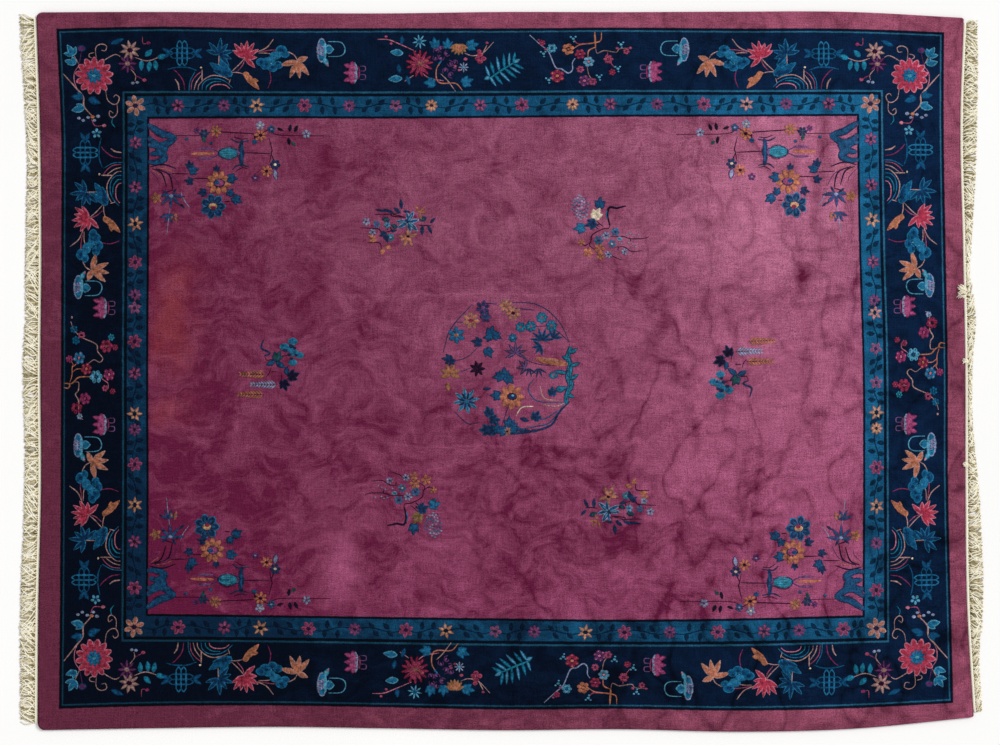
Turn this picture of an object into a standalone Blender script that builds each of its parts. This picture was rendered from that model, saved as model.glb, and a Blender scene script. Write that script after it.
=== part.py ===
"""A Chinese art deco rug of room size: knotted wool pile lying flat, with a cotton fringe at each end.

Metres, +Z up. X runs along the rug, +Y across it, and the floor is z = 0. The design is first laid out
straight, around its own middle, and then shifted to where the worn rug really lies.
"""

from collections import namedtuple

import bpy
import numpy as np

# Driving sizes
HALF_LENGTH = 1.769
HALF_WIDTH = 1.369
THICKNESS = 0.012
WIDEST_AT = 0.0066
TOP_INSET = 0.006
BOTTOM_INSET = 0.0006
LEFT_CORNER = 0.024
RIGHT_CORNER = 0.010
MM = 0.001

# The middle of the whole rug's box, measured from the middle of its design
BOX_MIDDLE = (-0.00881, -0.01326)

# Lines of the grid that models the pile
LENGTH_LINES = 23
WIDTH_LINES = 25
LINE_SPACE = 0.025

# Fringe
STRANDS = 150
STRAND_SHARE = 0.62
WEB_WIDTH = 0.014
WEB_HEIGHT = 0.004
CLEARANCE = 0.0003
FAN_OUT = 0.030
FAN_LENGTH = 0.09
SWAY_WAVES = ((0.005, 9), (0.003, 23), (0.0015, 61))
TIP_WAVES = ((0.003, 131), (0.002, 47))

# Sections of a strand past its root: how far along it, its share of the pitch, and its height
Section = namedtuple("Section", "along share height")
STRAND_SECTIONS = (Section(0.5, 0.62, 0.004), Section(1.0, 0.44, 0.0032))

# How far the long edges lie from straight, in millimetres, at places along the rug
LongEdges = namedtuple("LongEdges", "at top bottom")
LONG_EDGES = (
    LongEdges(-1.769, -9.5, -15.3),
    LongEdges(-1.327, -8.0, -7.6),
    LongEdges(-0.885, -11.8, -2.3),
    LongEdges(-0.442, -13.4, -8.4),
    LongEdges(0.0, -8.0, -15.3),
    LongEdges(0.442, -8.8, -11.5),
    LongEdges(0.885, -6.9, -21.0),
    LongEdges(1.327, -7.6, -9.5),
    LongEdges(1.769, -30.6, 34.4),
)

# How far the ends lie from straight, in millimetres, at places across the rug
Ends = namedtuple("Ends", "at left right")
ENDS = (
    Ends(-1.369, -13.4, 26.7),
    Ends(-0.913, -10.3, 0.0),
    Ends(-0.456, 0.0, -5.7),
    Ends(0.0, -2.7, -6.5),
    Ends(0.456, 1.1, -15.3),
    Ends(0.913, -3.8, -25.6),
    Ends(1.369, -19.0, -11.5),
)

# How far the web and the fringe reach past the pile, in millimetres, at places across the rug
Reach = namedtuple("Reach", "at left right")
REACHES = (
    Reach(-1.369, 69, 34),
    Reach(-1.13, 71, 38),
    Reach(-0.90, 72, 66),
    Reach(-0.66, 68, 64),
    Reach(-0.42, 66, 48),
    Reach(-0.20, 66, 28),
    Reach(0.04, 70, 32),
    Reach(0.18, 62, 45),
    Reach(0.32, 64, 25),
    Reach(0.55, 61, 42),
    Reach(0.80, 55, 64),
    Reach(1.10, 61, 66),
    Reach(1.369, 67, 53),
)

# Low creases where the rug lifts off the floor: where each crest runs, how high and how wide it is
Crease = namedtuple("Crease", "x y half_span lean lift half_width")
CREASES = (
    Crease(0.775, 1.02, 0.46, 0.04, 0.0035, 0.075),
    Crease(1.115, 0.72, 0.70, 0.00, 0.0045, 0.070),
    Crease(0.975, -0.62, 0.42, -0.02, 0.0035, 0.065),
    Crease(-0.995, 0.70, 0.55, 0.05, 0.0030, 0.080),
    Crease(-0.435, 0.95, 0.45, 0.03, 0.0025, 0.070),
)


def curve_through(places, values, where):
    """A smooth curve through values at places: between two places, the cubic with the table's own slopes."""
    places = np.array(places)
    values = np.array(values, float)
    slopes = np.gradient(values, places)
    i = np.clip(np.searchsorted(places, where) - 1, 0, len(places) - 2)
    step = places[i + 1] - places[i]
    t = (where - places[i]) / step
    start = (2 * t**3 - 3 * t**2 + 1) * values[i] + (t**3 - 2 * t**2 + t) * step * slopes[i]
    return start + (3 * t**2 - 2 * t**3) * values[i + 1] + (t**3 - t**2) * step * slopes[i + 1]


def column(table, name, where):
    """One named column of a table, in metres, as a smooth curve read at where."""
    values = [getattr(row, name) for row in table]
    return curve_through([row.at for row in table], values, where) * MM


def rounded(u, v):
    """The straight design with its corner squares bent into quarter discs."""
    r = np.where(u < 0, LEFT_CORNER, RIGHT_CORNER)
    a = np.clip((np.abs(u) - HALF_LENGTH + r) / r, 0, None)
    b = np.clip((np.abs(v) - HALF_WIDTH + r) / r, 0, None)
    bent_u = np.where(a > 0, HALF_LENGTH - r + r * a * np.sqrt(1 - b**2 / 2), np.abs(u))
    bent_v = np.where(b > 0, HALF_WIDTH - r + r * b * np.sqrt(1 - a**2 / 2), np.abs(v))
    return np.sign(u) * bent_u, np.sign(v) * bent_v


def lay(u, v):
    """Where a point of the straight design lies on the floor, around the middle of the rug's box."""
    across = (v + HALF_WIDTH) / (2 * HALF_WIDTH)
    along = (u + HALF_LENGTH) / (2 * HALF_LENGTH)
    x = u + column(ENDS, "left", v) * (1 - along) + column(ENDS, "right", v) * along
    y = v + column(LONG_EDGES, "bottom", u) * (1 - across) + column(LONG_EDGES, "top", u) * across
    return x - BOX_MIDDLE[0], y - BOX_MIDDLE[1]


def lifted(x, y):
    """The underside's height: the sum of the creases, each a squared cosine across and along its crest."""
    height = np.zeros_like(x)
    for crease in CREASES:
        along = np.clip((y - crease.y) / crease.half_span, -1, 1)
        crest = crease.x + crease.lean * along
        across = np.clip((x - crest) / crease.half_width, -1, 1)
        height += crease.lift * np.cos(across * np.pi / 2) ** 2 * np.cos(along * np.pi / 2) ** 2
    return height


def grid_lines(half, count):
    """Lines of the design across one direction: even ones, and two more near each end for the corners."""
    even = np.linspace(-half + LEFT_CORNER, half - LEFT_CORNER, count)
    near_ends = np.array([half, half - LEFT_CORNER / 2])
    return np.sort(np.concatenate([even, near_ends, -near_ends]))


def length_lines():
    """The even lines across the rug, but five over each crease in place of those near it."""
    crests = np.array([c.x + side * c.half_width for c in CREASES for side in (-1, -0.5, 0, 0.5, 1)])
    even = grid_lines(HALF_LENGTH, LENGTH_LINES)
    apart = np.abs(even[:, None] - crests).min(axis=1) > LINE_SPACE
    return np.sort(np.concatenate([even[apart], crests]))


def width_lines():
    return grid_lines(HALF_WIDTH, WIDTH_LINES)


def add_solid(name, points, faces, material):
    mesh = bpy.data.meshes.new(name)
    mesh.from_pydata(points, [], faces)
    mesh.materials.append(material)
    mesh.shade_smooth()
    mesh.set_sharp_from_angle(angle=0.6)
    solid = bpy.data.objects.new(name, mesh)
    bpy.context.scene.collection.objects.link(solid)
    return solid


def material_of(name, colour, roughness):
    material = bpy.data.materials.new(name)
    material.use_nodes = True
    shader = material.node_tree.nodes["Principled BSDF"]
    shader.inputs["Base Color"].default_value = (*colour, 1)
    shader.inputs["Roughness"].default_value = roughness
    shader.inputs["Metallic"].default_value = 0
    return material


def sheet_points(u, v, inset, height):
    """Points of one layer of the pile: the design drawn in by inset, at height above the underside."""
    bent_u, bent_v = rounded(u, v)
    x, y = lay(bent_u * (1 - inset / HALF_LENGTH), bent_v * (1 - inset / HALF_WIDTH))
    return np.stack([x, y, lifted(x, y) + height], axis=-1).reshape(-1, 3)


def rim(index):
    """The outer ring of a grid of point numbers, counter-clockwise seen from above."""
    return np.concatenate([index[:-1, 0], index[-1, :-1], index[:0:-1, -1], index[0, :0:-1]])


def build_pile(material):
    """The knotted sheet: a top and an underside on one grid, joined by a wall that swells at mid height."""
    u, v = np.meshgrid(length_lines(), width_lines(), indexing="ij")
    top = np.arange(u.size).reshape(u.shape)
    ring = rim(top)
    wall = 2 * u.size + np.arange(len(ring))
    points = np.concatenate(
        [
            sheet_points(u, v, TOP_INSET, THICKNESS),
            sheet_points(u, v, BOTTOM_INSET, 0),
            sheet_points(u, v, 0, WIDEST_AT)[ring],
        ]
    )
    quads = np.stack([top[:-1, :-1], top[1:, :-1], top[1:, 1:], top[:-1, 1:]], axis=-1).reshape(-1, 4)
    upper = np.stack([wall, np.roll(wall, -1), np.roll(ring, -1), ring], axis=-1)
    ring_under = ring + u.size
    lower = np.stack([ring_under, np.roll(ring_under, -1), np.roll(wall, -1), wall], axis=-1)
    faces = np.concatenate([quads, (quads + u.size)[:, ::-1], upper, lower])
    return add_solid("pile", points.tolist(), faces.tolist(), material)


def end_of_pile(side, y_design):
    """(x, y) on the pile's wall at one end, on the straight pieces between the pile's own grid lines."""
    lines = width_lines()
    lines = lines[np.abs(lines) <= HALF_WIDTH - LEFT_CORNER + 1e-4]
    x, y = lay(np.full(len(lines), side * HALF_LENGTH), lines)
    return np.interp(y_design, lines, x), np.interp(y_design, lines, y)


def strand_sway(v):
    """How far strand tips lean along the end, in metres: waves, and a fan-out at both corners."""
    waves = sum(height * np.sin(turns * v) for height, turns in SWAY_WAVES)
    from_corner = HALF_WIDTH - LEFT_CORNER - np.abs(v)
    return waves + np.sign(v) * FAN_OUT * np.clip(1 - from_corner / FAN_LENGTH, 0, 1)


def tip_jitter(v):
    """Uneven strand lengths, in metres."""
    return sum(height * np.sin(turns * v) for height, turns in TIP_WAVES)


def between(a, b):
    """Quads between two rows of point numbers, one for each step along them."""
    return np.stack([a[:-1], a[1:], b[1:], b[:-1]], axis=-1)


def web_faces(inner_low, inner_high, outer_low, outer_high):
    """The web strip's walls, ends, top and underside, open where a strand leaves the outer wall."""
    strand_cells = np.arange(1, len(outer_low) - 1, 2)
    return [
        np.delete(between(outer_low, outer_high), strand_cells, axis=0),
        between(inner_high, inner_low),
        between(outer_high, inner_high),
        between(inner_low, outer_low),
        np.array([[inner_low[0], outer_low[0], outer_high[0], inner_high[0]]]),
        np.array([[inner_high[-1], outer_high[-1], outer_low[-1], inner_low[-1]]]),
    ]


def strand_ring(x, y, half_width, height):
    """Four corners of every strand at one place along them, the lower two on the floor."""
    low, high = y - half_width, y + half_width
    floor, top = np.zeros_like(x), np.full_like(x, height)
    corners = [(x, low, floor), (x, high, floor), (x, high, top), (x, low, top)]
    return np.stack([np.stack(corner, axis=-1) for corner in corners], axis=1).reshape(-1, 3)


def build_fringe(name, side, column_name, material):
    """One end's woven web, parted from the pile, with four-sided strands drawn out of its outer wall."""
    half = HALF_WIDTH - LEFT_CORNER
    pitch = 2 * half / STRANDS
    middles = -half + pitch * (np.arange(STRANDS) + 0.5)
    root_half = pitch * STRAND_SHARE / 2
    cuts = np.sort(np.concatenate([[-half, half], middles - root_half, middles + root_half]))
    wall_x, wall_y = end_of_pile(side, cuts)
    outer_x = wall_x + side * (CLEARANCE + WEB_WIDTH)
    floor, top = np.zeros_like(cuts), np.full_like(cuts, WEB_HEIGHT)
    layers = [
        np.stack([x, wall_y, z], axis=-1)
        for x in (wall_x + side * CLEARANCE, outer_x)
        for z in (floor, top)
    ]
    inner_low, inner_high, outer_low, outer_high = np.arange(4 * len(cuts)).reshape(4, -1)
    faces = web_faces(inner_low, inner_high, outer_low, outer_high)

    reach = column(REACHES, column_name, middles) - WEB_WIDTH + tip_jitter(middles)
    root_x, root_y = (np.stack([along[1:-1:2], along[2::2]]).mean(axis=0) for along in (outer_x, wall_y))
    ring = np.stack([outer_low[1:-1:2], outer_low[2::2], outer_high[2::2], outer_high[1:-1:2]], axis=-1)
    for along, share, height in STRAND_SECTIONS:
        x = root_x + side * reach * along
        y = root_y + strand_sway(middles) * along**1.5
        next_ring = sum(map(len, layers)) + np.arange(4 * STRANDS).reshape(STRANDS, 4)
        layers.append(strand_ring(x, y, pitch * share / 2, height))
        for j, k in ((0, 1), (1, 2), (2, 3), (3, 0)):
            faces.append(np.stack([ring[:, j], ring[:, k], next_ring[:, k], next_ring[:, j]], axis=-1))
        ring = next_ring
    faces = np.concatenate([*faces, ring])
    if side < 0:
        faces = faces[:, ::-1]
    return add_solid(name, np.concatenate(layers).tolist(), faces.tolist(), material)


def main():
    for old in list(bpy.data.objects):
        bpy.data.objects.remove(old)
    wool = material_of("plum wool pile", (0.20, 0.035, 0.075), 0.95)
    cotton = material_of("cream cotton", (0.66, 0.60, 0.45), 0.9)
    build_pile(wool)
    build_fringe("fringe_left", -1, "left", cotton)
    build_fringe("fringe_right", 1, "right", cotton)


main()
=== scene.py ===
"""The looks of a room-size Chinese art deco rug: dyed wool pile, its woven design, and a cotton fringe.

Metres, +Z up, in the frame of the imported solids. X runs along the rug and Y across it. The design is laid
out straight around its own middle in charts whose squares are UNIT wide, then shifted as the worn rug lies.
"""

from collections import namedtuple

import bpy
import numpy as np
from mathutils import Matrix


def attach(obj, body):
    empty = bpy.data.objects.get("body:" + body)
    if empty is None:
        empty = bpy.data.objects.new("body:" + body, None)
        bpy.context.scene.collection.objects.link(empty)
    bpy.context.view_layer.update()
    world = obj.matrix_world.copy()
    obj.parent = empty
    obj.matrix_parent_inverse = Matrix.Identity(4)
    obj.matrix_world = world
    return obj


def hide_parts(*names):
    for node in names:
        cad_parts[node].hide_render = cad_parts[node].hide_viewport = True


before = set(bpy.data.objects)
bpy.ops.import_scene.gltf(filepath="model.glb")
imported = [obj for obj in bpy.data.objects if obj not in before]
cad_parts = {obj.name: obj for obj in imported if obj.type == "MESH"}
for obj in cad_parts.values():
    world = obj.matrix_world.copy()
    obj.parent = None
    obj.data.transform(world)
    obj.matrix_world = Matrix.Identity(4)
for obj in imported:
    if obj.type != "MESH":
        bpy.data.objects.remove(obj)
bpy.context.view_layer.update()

# Driving sizes, the same as the solids'
HALF_LENGTH = 1.769
HALF_WIDTH = 1.369
GUARD_HALF_LENGTH = 1.696
GUARD_HALF_WIDTH = 1.299
FIELD_HALF_LENGTH = 1.360
FIELD_HALF_WIDTH = 0.955
THICKNESS = 0.012
WIDEST_AT = 0.0066
TOP_INSET = 0.006
BOTTOM_INSET = 0.0006
LEFT_CORNER = 0.024
RIGHT_CORNER = 0.010
BOX_MIDDLE = (-0.00881, -0.01326)
WEB_WIDTH = 0.014
WEB_HEIGHT = 0.004
CLEARANCE = 0.0003
MM = 0.001
UNIT = 0.00382

# Grid of the pile
LINES_ALONG = 206
LINES_ACROSS = 158
CORNER_LINES = 7
RIM_POWER = 60
EDGE_TURNS = (65, 40, 15, -20, -55)

# How far each line of the design lies from straight across the rug's length, in millimetres
EndLines = namedtuple("EndLines", "at left left_guard left_field right_field right_guard right")
END_LINES = (
    EndLines(-1.369, -13.4, -5.7, 0.0, 7.6, 22.9, 26.7),
    EndLines(-0.913, -10.3, -1.0, 0.0, 9.5, 11.5, 0.0),
    EndLines(-0.456, 0.0, 1.5, 2.3, 11.8, 1.1, -5.7),
    EndLines(0.0, -2.7, 3.0, 0.8, 10.0, 0.0, -6.5),
    EndLines(0.456, 1.1, 3.8, 3.8, -3.8, -8.4, -15.3),
    EndLines(0.913, -3.8, 3.0, 5.0, -11.5, -15.3, -25.6),
    EndLines(1.369, -19.0, -19.0, 5.0, -15.0, -13.4, -11.5),
)
END_STOPS = np.array([-1, -1, -1, 1, 1, 1]) * np.array(
    [HALF_LENGTH, GUARD_HALF_LENGTH, FIELD_HALF_LENGTH, FIELD_HALF_LENGTH, GUARD_HALF_LENGTH, HALF_LENGTH]
)

# The same for the lines along the rug
LongLines = namedtuple("LongLines", "at bottom bottom_guard bottom_field top_field top_guard top")
LONG_LINES = (
    LongLines(-1.769, -15.3, -5.7, 17.0, -3.8, -3.8, -9.5),
    LongLines(-1.327, -7.6, 6.9, 15.7, -3.0, 6.0, -8.0),
    LongLines(-0.885, -2.3, 8.8, 10.3, -1.0, -0.8, -11.8),
    LongLines(-0.442, -8.4, 1.9, 3.8, -2.3, 0.0, -13.4),
    LongLines(0.0, -15.3, -6.5, -1.9, 0.8, -0.8, -8.0),
    LongLines(0.442, -11.5, -3.8, -6.5, 4.6, 2.3, -8.8),
    LongLines(0.885, -21.0, -10.7, -1.9, 5.3, -1.0, -6.9),
    LongLines(1.327, -9.5, -1.5, 9.5, 7.6, -2.3, -7.6),
    LongLines(1.769, 34.4, 23.0, 19.0, 7.6, -19.0, -30.6),
)
LONG_STOPS = np.array([-1, -1, -1, 1, 1, 1]) * np.array(
    [HALF_WIDTH, GUARD_HALF_WIDTH, FIELD_HALF_WIDTH, FIELD_HALF_WIDTH, GUARD_HALF_WIDTH, HALF_WIDTH]
)

# How far the fringe reaches past the pile, in millimetres
Reach = namedtuple("Reach", "at left right")
REACHES = (
    Reach(-1.369, 69, 34),
    Reach(-1.13, 71, 38),
    Reach(-0.90, 72, 66),
    Reach(-0.66, 68, 64),
    Reach(-0.42, 66, 48),
    Reach(-0.20, 66, 28),
    Reach(0.04, 70, 32),
    Reach(0.18, 62, 45),
    Reach(0.32, 64, 25),
    Reach(0.55, 61, 42),
    Reach(0.80, 55, 64),
    Reach(1.10, 61, 66),
    Reach(1.369, 67, 53),
)

# Low creases where the rug lifts off the floor
Crease = namedtuple("Crease", "x y half_span lean lift half_width")
CREASES = (
    Crease(0.775, 1.02, 0.46, 0.04, 0.0035, 0.075),
    Crease(1.115, 0.72, 0.70, 0.00, 0.0045, 0.070),
    Crease(0.975, -0.62, 0.42, -0.02, 0.0035, 0.065),
    Crease(-0.995, 0.70, 0.55, 0.05, 0.0030, 0.080),
    Crease(-0.435, 0.95, 0.45, 0.03, 0.0025, 0.070),
)

# Low waves of the pile's top: height, waves a metre along and across
Wave = namedtuple("Wave", "height along across start")
WAVES = (Wave(0.0004, 6.1, 2.3, 0.4), Wave(0.0003, -3.7, 7.9, 1.9), Wave(0.0002, 13.0, 9.0, 0.7))


def curve_through(places, values, where):
    """A smooth curve through values at places: between two places, the cubic with the table's own slopes."""
    places = np.array(places)
    values = np.array(values, float)
    slopes = np.gradient(values, places)
    i = np.clip(np.searchsorted(places, where) - 1, 0, len(places) - 2)
    step = places[i + 1] - places[i]
    t = (where - places[i]) / step
    start = (2 * t**3 - 3 * t**2 + 1) * values[i] + (t**3 - 2 * t**2 + t) * step * slopes[i]
    return start + (3 * t**2 - 2 * t**3) * values[i + 1] + (t**3 - t**2) * step * slopes[i + 1]


def column(table, name, where):
    """One named column of a table, in metres, as a smooth curve read at where."""
    values = [getattr(row, name) for row in table]
    return curve_through([row.at for row in table], values, where) * MM


def shift(table, stops, where, along):
    """How far a point moves: the shifts of the two nearest lines at along, mixed straight between them."""
    shifts = np.stack([column(table, name, along) for name in table[0]._fields[1:]])
    i = np.clip(np.searchsorted(stops, where) - 1, 0, len(stops) - 2)
    share = (where - stops[i]) / (stops[i + 1] - stops[i])
    low = np.take_along_axis(shifts, i[None], axis=0)[0]
    high = np.take_along_axis(shifts, i[None] + 1, axis=0)[0]
    return low * (1 - share) + high * share


def lay(u, v):
    """Where a point of the straight design lies on the floor, around the middle of the rug's box."""
    x = u + shift(END_LINES, END_STOPS, u, v)
    y = v + shift(LONG_LINES, LONG_STOPS, v, u)
    return x - BOX_MIDDLE[0], y - BOX_MIDDLE[1]


def rounded(u, v):
    """The straight design with its corner squares bent into quarter discs."""
    r = np.where(u < 0, LEFT_CORNER, RIGHT_CORNER)
    a = np.clip((np.abs(u) - HALF_LENGTH + r) / r, 0, None)
    b = np.clip((np.abs(v) - HALF_WIDTH + r) / r, 0, None)
    bent_u = np.where(a > 0, HALF_LENGTH - r + r * a * np.sqrt(1 - b**2 / 2), np.abs(u))
    bent_v = np.where(b > 0, HALF_WIDTH - r + r * b * np.sqrt(1 - a**2 / 2), np.abs(v))
    return np.sign(u) * bent_u, np.sign(v) * bent_v


def lifted(x, y):
    """The underside's height: the sum of the creases, each a squared cosine across and along its crest."""
    height = np.zeros_like(x)
    for crease in CREASES:
        along = np.clip((y - crease.y) / crease.half_span, -1, 1)
        crest = crease.x + crease.lean * along
        across = np.clip((x - crest) / crease.half_width, -1, 1)
        height += crease.lift * np.cos(across * np.pi / 2) ** 2 * np.cos(along * np.pi / 2) ** 2
    return height


def waves(x, y):
    """Low waves of the pile's top: a sum of sines of straight wave fronts."""
    return sum(w.height * np.sin(2 * np.pi * (w.along * x + w.across * y) + w.start) for w in WAVES)


def pile_top(x, y):
    """The height of the pile's top: the lifted underside, the thickness and the low waves."""
    return lifted(x, y) + THICKNESS + waves(x, y)


def add_mesh(name, points, polygons):
    """A mesh from an array of points and arrays of faces, each array with one number of corners a face."""
    mesh = bpy.data.meshes.new(name)
    corners = np.concatenate([p.ravel() for p in polygons])
    sizes = np.concatenate([np.full(len(p), p.shape[1]) for p in polygons])
    mesh.vertices.add(len(points))
    mesh.vertices.foreach_set("co", points.astype(np.float32).ravel())
    mesh.loops.add(len(corners))
    mesh.loops.foreach_set("vertex_index", corners.astype(np.int32))
    mesh.polygons.add(len(sizes))
    mesh.polygons.foreach_set("loop_start", (np.cumsum(sizes) - sizes).astype(np.int32))
    mesh.update(calc_edges=True)
    mesh.validate()
    mesh.shade_smooth()
    piece = bpy.data.objects.new(name, mesh)
    bpy.context.scene.collection.objects.link(piece)
    return piece


def set_map(piece, name, places):
    """A UV map that gives each corner its vertex's place."""
    mesh = piece.data
    vertex = np.empty(len(mesh.loops), np.int32)
    mesh.loops.foreach_get("vertex_index", vertex)
    layer = mesh.uv_layers.new(name=name)
    layer.data.foreach_set("uv", places[vertex].astype(np.float32).ravel())


def wear_piece(piece, material):
    """Gives a piece its finish and its body."""
    piece.data.materials.append(material)
    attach(piece, "root")
    return piece


# Shaders


class Value:
    """A socket of a material. Sums, products and powers of it add Math nodes."""

    def __init__(self, paint, socket):
        self.paint = paint
        self.socket = socket

    def math(self, operation, *others):
        return self.paint.node("Math", {"operation": operation}, dict(enumerate((self, *others))))

    def __add__(self, other):
        return self.math("ADD", other)

    def __mul__(self, other):
        return self.math("MULTIPLY", other)

    def __sub__(self, other):
        return self.math("SUBTRACT", other)

    def __rsub__(self, other):
        return self * -1 + other

    def __truediv__(self, other):
        return self.math("DIVIDE", other)

    def __pow__(self, other):
        return self.math("POWER", other)

    __radd__ = __add__
    __rmul__ = __mul__

    def clip(self):
        return self.paint.node("Clamp", {}, {"Value": self})


class Paint:
    """The nodes of one material. Any node comes from node(): its type, its settings, its sockets' values."""

    def __init__(self, name):
        self.material = bpy.data.materials.new(name)
        self.material.use_nodes = True
        self.tree = self.material.node_tree
        self.shader = self.tree.nodes["Principled BSDF"]
        self.place = self.node("TexCoord", {}, {}, "Object")

    def put(self, socket, value):
        """Links a value to a socket, or sets a constant on it."""
        if isinstance(value, Value):
            self.tree.links.new(value.socket, socket)
        else:
            socket.default_value = value

    def node(self, kind, settings, sockets, output=0):
        made = self.tree.nodes.new("ShaderNode" + kind)
        for name, value in settings.items():
            if name == "stops":
                set_stops(made.color_ramp, value)
            else:
                setattr(made, name, value)
        for name, value in sockets.items():
            self.put(made.inputs[name], value)
        return Value(self, made.outputs[output])

    def finish(self, **sockets):
        """Sets the shader's sockets, with _ for a space in their names."""
        for name, value in sockets.items():
            self.put(self.shader.inputs[name.replace("_", " ")], value)
        return self.material

    def noise(self, scale, detail=2, roughness=0.5, stretch=None, place=None):
        """Soft noise around 0.5. Stretch makes its blobs as much longer in each direction."""
        place = place or self.place
        if stretch:
            place = self.node("VectorMath", {"operation": "DIVIDE"}, {0: place, 1: stretch})
        sockets = {"Vector": place, "Scale": scale, "Detail": detail, "Roughness": roughness}
        return self.node("TexNoise", {}, sockets)

    def mix(self, factor, first, second):
        """The first colour where the factor is 0, the second where it is 1."""
        return self.node("Mix", {"data_type": "RGBA"}, {0: factor, 6: first, 7: second}, 2)

    def axes(self, vector):
        """A vector's x and y."""
        x = self.node("SeparateXYZ", {}, {0: vector})
        return x, Value(self, x.socket.node.outputs[1])

    def map_axes(self, name):
        """The u and v of a UV map."""
        return self.axes(self.node("UVMap", {"uv_map": name}, {}))

    def ramp(self, stops, place):
        return self.node("ValToRGB", {"stops": stops}, {0: place})

    def bump(self, strength, distance, height):
        return self.node("Bump", {}, {"Strength": strength, "Distance": distance, "Height": height})

    def tinted(self, colour, factor):
        """A colour times a number."""
        return self.node("VectorMath", {"operation": "SCALE"}, {0: colour, "Scale": factor})


def set_stops(ramp, stops):
    """A ramp's stops: the place and colour of each."""
    ramp.interpolation = "LINEAR"
    while len(ramp.elements) < len(stops):
        ramp.elements.new(1)
    for element, (place, colour) in zip(ramp.elements, stops):
        element.position = place
        element.color = colour


# How bright a white surface is on the stage
STAGE_LIGHT = 1.09


def linear(red, green, blue):
    """A screen colour from 0 to 255 as the share of the stage's light that a surface gives back."""
    share = np.array([red, green, blue]) / 255
    light = np.where(share > 0.04045, ((share + 0.055) / 1.055) ** 2.4, share / 12.92)
    return (*(light / STAGE_LIGHT).tolist(), 1)


# Broad patches of wear: middle, half sizes in metres, and how much lighter or redder each makes the wool
Patch = namedtuple("Patch", "x y half_x half_y lighter redder", defaults=(0.0,))
PATCHES = (
    Patch(1.16, 0.66, 0.34, 0.44, 0.27),
    Patch(1.22, -0.30, 0.24, 0.40, 0.20),
    Patch(0.73, -0.36, 0.26, 0.20, 0.17),
    Patch(-0.57, 0.83, 0.24, 0.16, -0.12),
    Patch(0.66, -0.62, 0.28, 0.12, -0.14),
    Patch(-1.15, 0.50, 0.30, 0.45, -0.02),
    Patch(-0.18, -0.62, 0.14, 0.20, 0.10),
    Patch(-1.25, 0.22, 0.08, 0.17, 0.07, 0.80),
    Patch(-1.27, -0.13, 0.08, 0.07, 0.12, 0.60),
    Patch(-1.15, -0.37, 0.30, 0.30, 0.04),
    Patch(0.10, -0.55, 0.45, 0.16, -0.09),
    Patch(-0.50, -0.76, 0.40, 0.20, 0.06),
    Patch(1.05, 1.03, 0.30, 0.10, 0.10),
    Patch(0.95, 0.05, 0.26, 0.24, 0.12),
)

# Folds and small patches that nearly keep their places: the rows that darken are painted shade in a fold's
# hollow, the rows that lighten are painted highlight on crests and worn spots
FOLDS = (
    Patch(0.79, 1.00, 0.018, 0.40, -0.16),
    Patch(1.228, 0.93, 0.024, 0.20, -0.40),
    Patch(1.195, 0.62, 0.022, 0.15, -0.38),
    Patch(1.135, 0.36, 0.028, 0.15, -0.40),
    Patch(1.21, 0.475, 0.080, 0.018, -0.26),
    Patch(1.350, 0.36, 0.020, 0.09, -0.32),
    Patch(1.29, 0.275, 0.080, 0.018, -0.24),
    Patch(1.16, 0.02, 0.024, 0.15, -0.28),
    Patch(1.21, -0.16, 0.070, 0.020, -0.22),
    Patch(0.85, 0.31, 0.090, 0.014, -0.18),
    Patch(0.62, 0.18, 0.020, 0.09, -0.16),
    Patch(0.745, -0.26, 0.020, 0.10, -0.18),
    Patch(0.98, -0.60, 0.020, 0.26, -0.18),
    Patch(-0.08, 0.288, 0.50, 0.005, 0.12),
    Patch(-0.08, -0.277, 0.50, 0.005, 0.11),
    Patch(-0.615, -0.76, 0.060, 0.16, 0.34),
    Patch(-0.49, -0.70, 0.07, 0.10, -0.16),
    Patch(0.03, -0.78, 0.11, 0.13, -0.14),
    Patch(0.42, -0.37, 0.18, 0.11, -0.13),
    Patch(0.86, 0.57, 0.22, 0.20, 0.30),
    Patch(0.78, 0.01, 0.08, 0.10, 0.12),
    Patch(0.46, 0.17, 0.16, 0.12, 0.12),
    Patch(1.72, 0.00, 0.06, 0.85, -0.22),
    Patch(1.10, -1.31, 0.50, 0.05, 0.16),
)


def patched(x, y, rows):
    """The rows' lighter and redder parts, each times exp(-(distance / half size) squared), summed."""
    lighter, redder = 0.0, 0.0
    for row in rows:
        away = ((x - row.x) / row.half_x) ** 2 + ((y - row.y) / row.half_y) ** 2
        weight = (away * -1).math("EXPONENT")
        lighter = weight * row.lighter + lighter
        if row.redder:
            redder = weight * row.redder + redder
    return lighter, redder


def moved_place(paint, drift, reach):
    """The object's place, plus the drift times reach."""
    sockets = {0: drift, 1: (reach, reach, 0), 2: paint.place}
    return paint.node("VectorMath", {"operation": "MULTIPLY_ADD"}, sockets)


# How far a noise moves the places of the broad patches and of the folds, in metres
PATCH_DRIFT = 0.34
FOLD_DRIFT = 0.08

# How worn the wool is at the middle; how much lighter a metre along and across, a painted light falling from
# the right and the top; and the contrast of wear, painted light and painted shade together
WEAR = 0.27
LIGHT_SLOPE_ALONG = 0.18
LIGHT_SLOPE_ACROSS = 0.10
WEAR_AND_SHADE_CONTRAST = 0.9
WRINKLE_SHADE = 0.30

# What the noises add, from large to small, and how much more at the right end
CLOUDS = 0.38
PUFFS_RIGHT = 0.50
STREAKS = 0.78
STREAKS_RIGHT = 0.46


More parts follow.
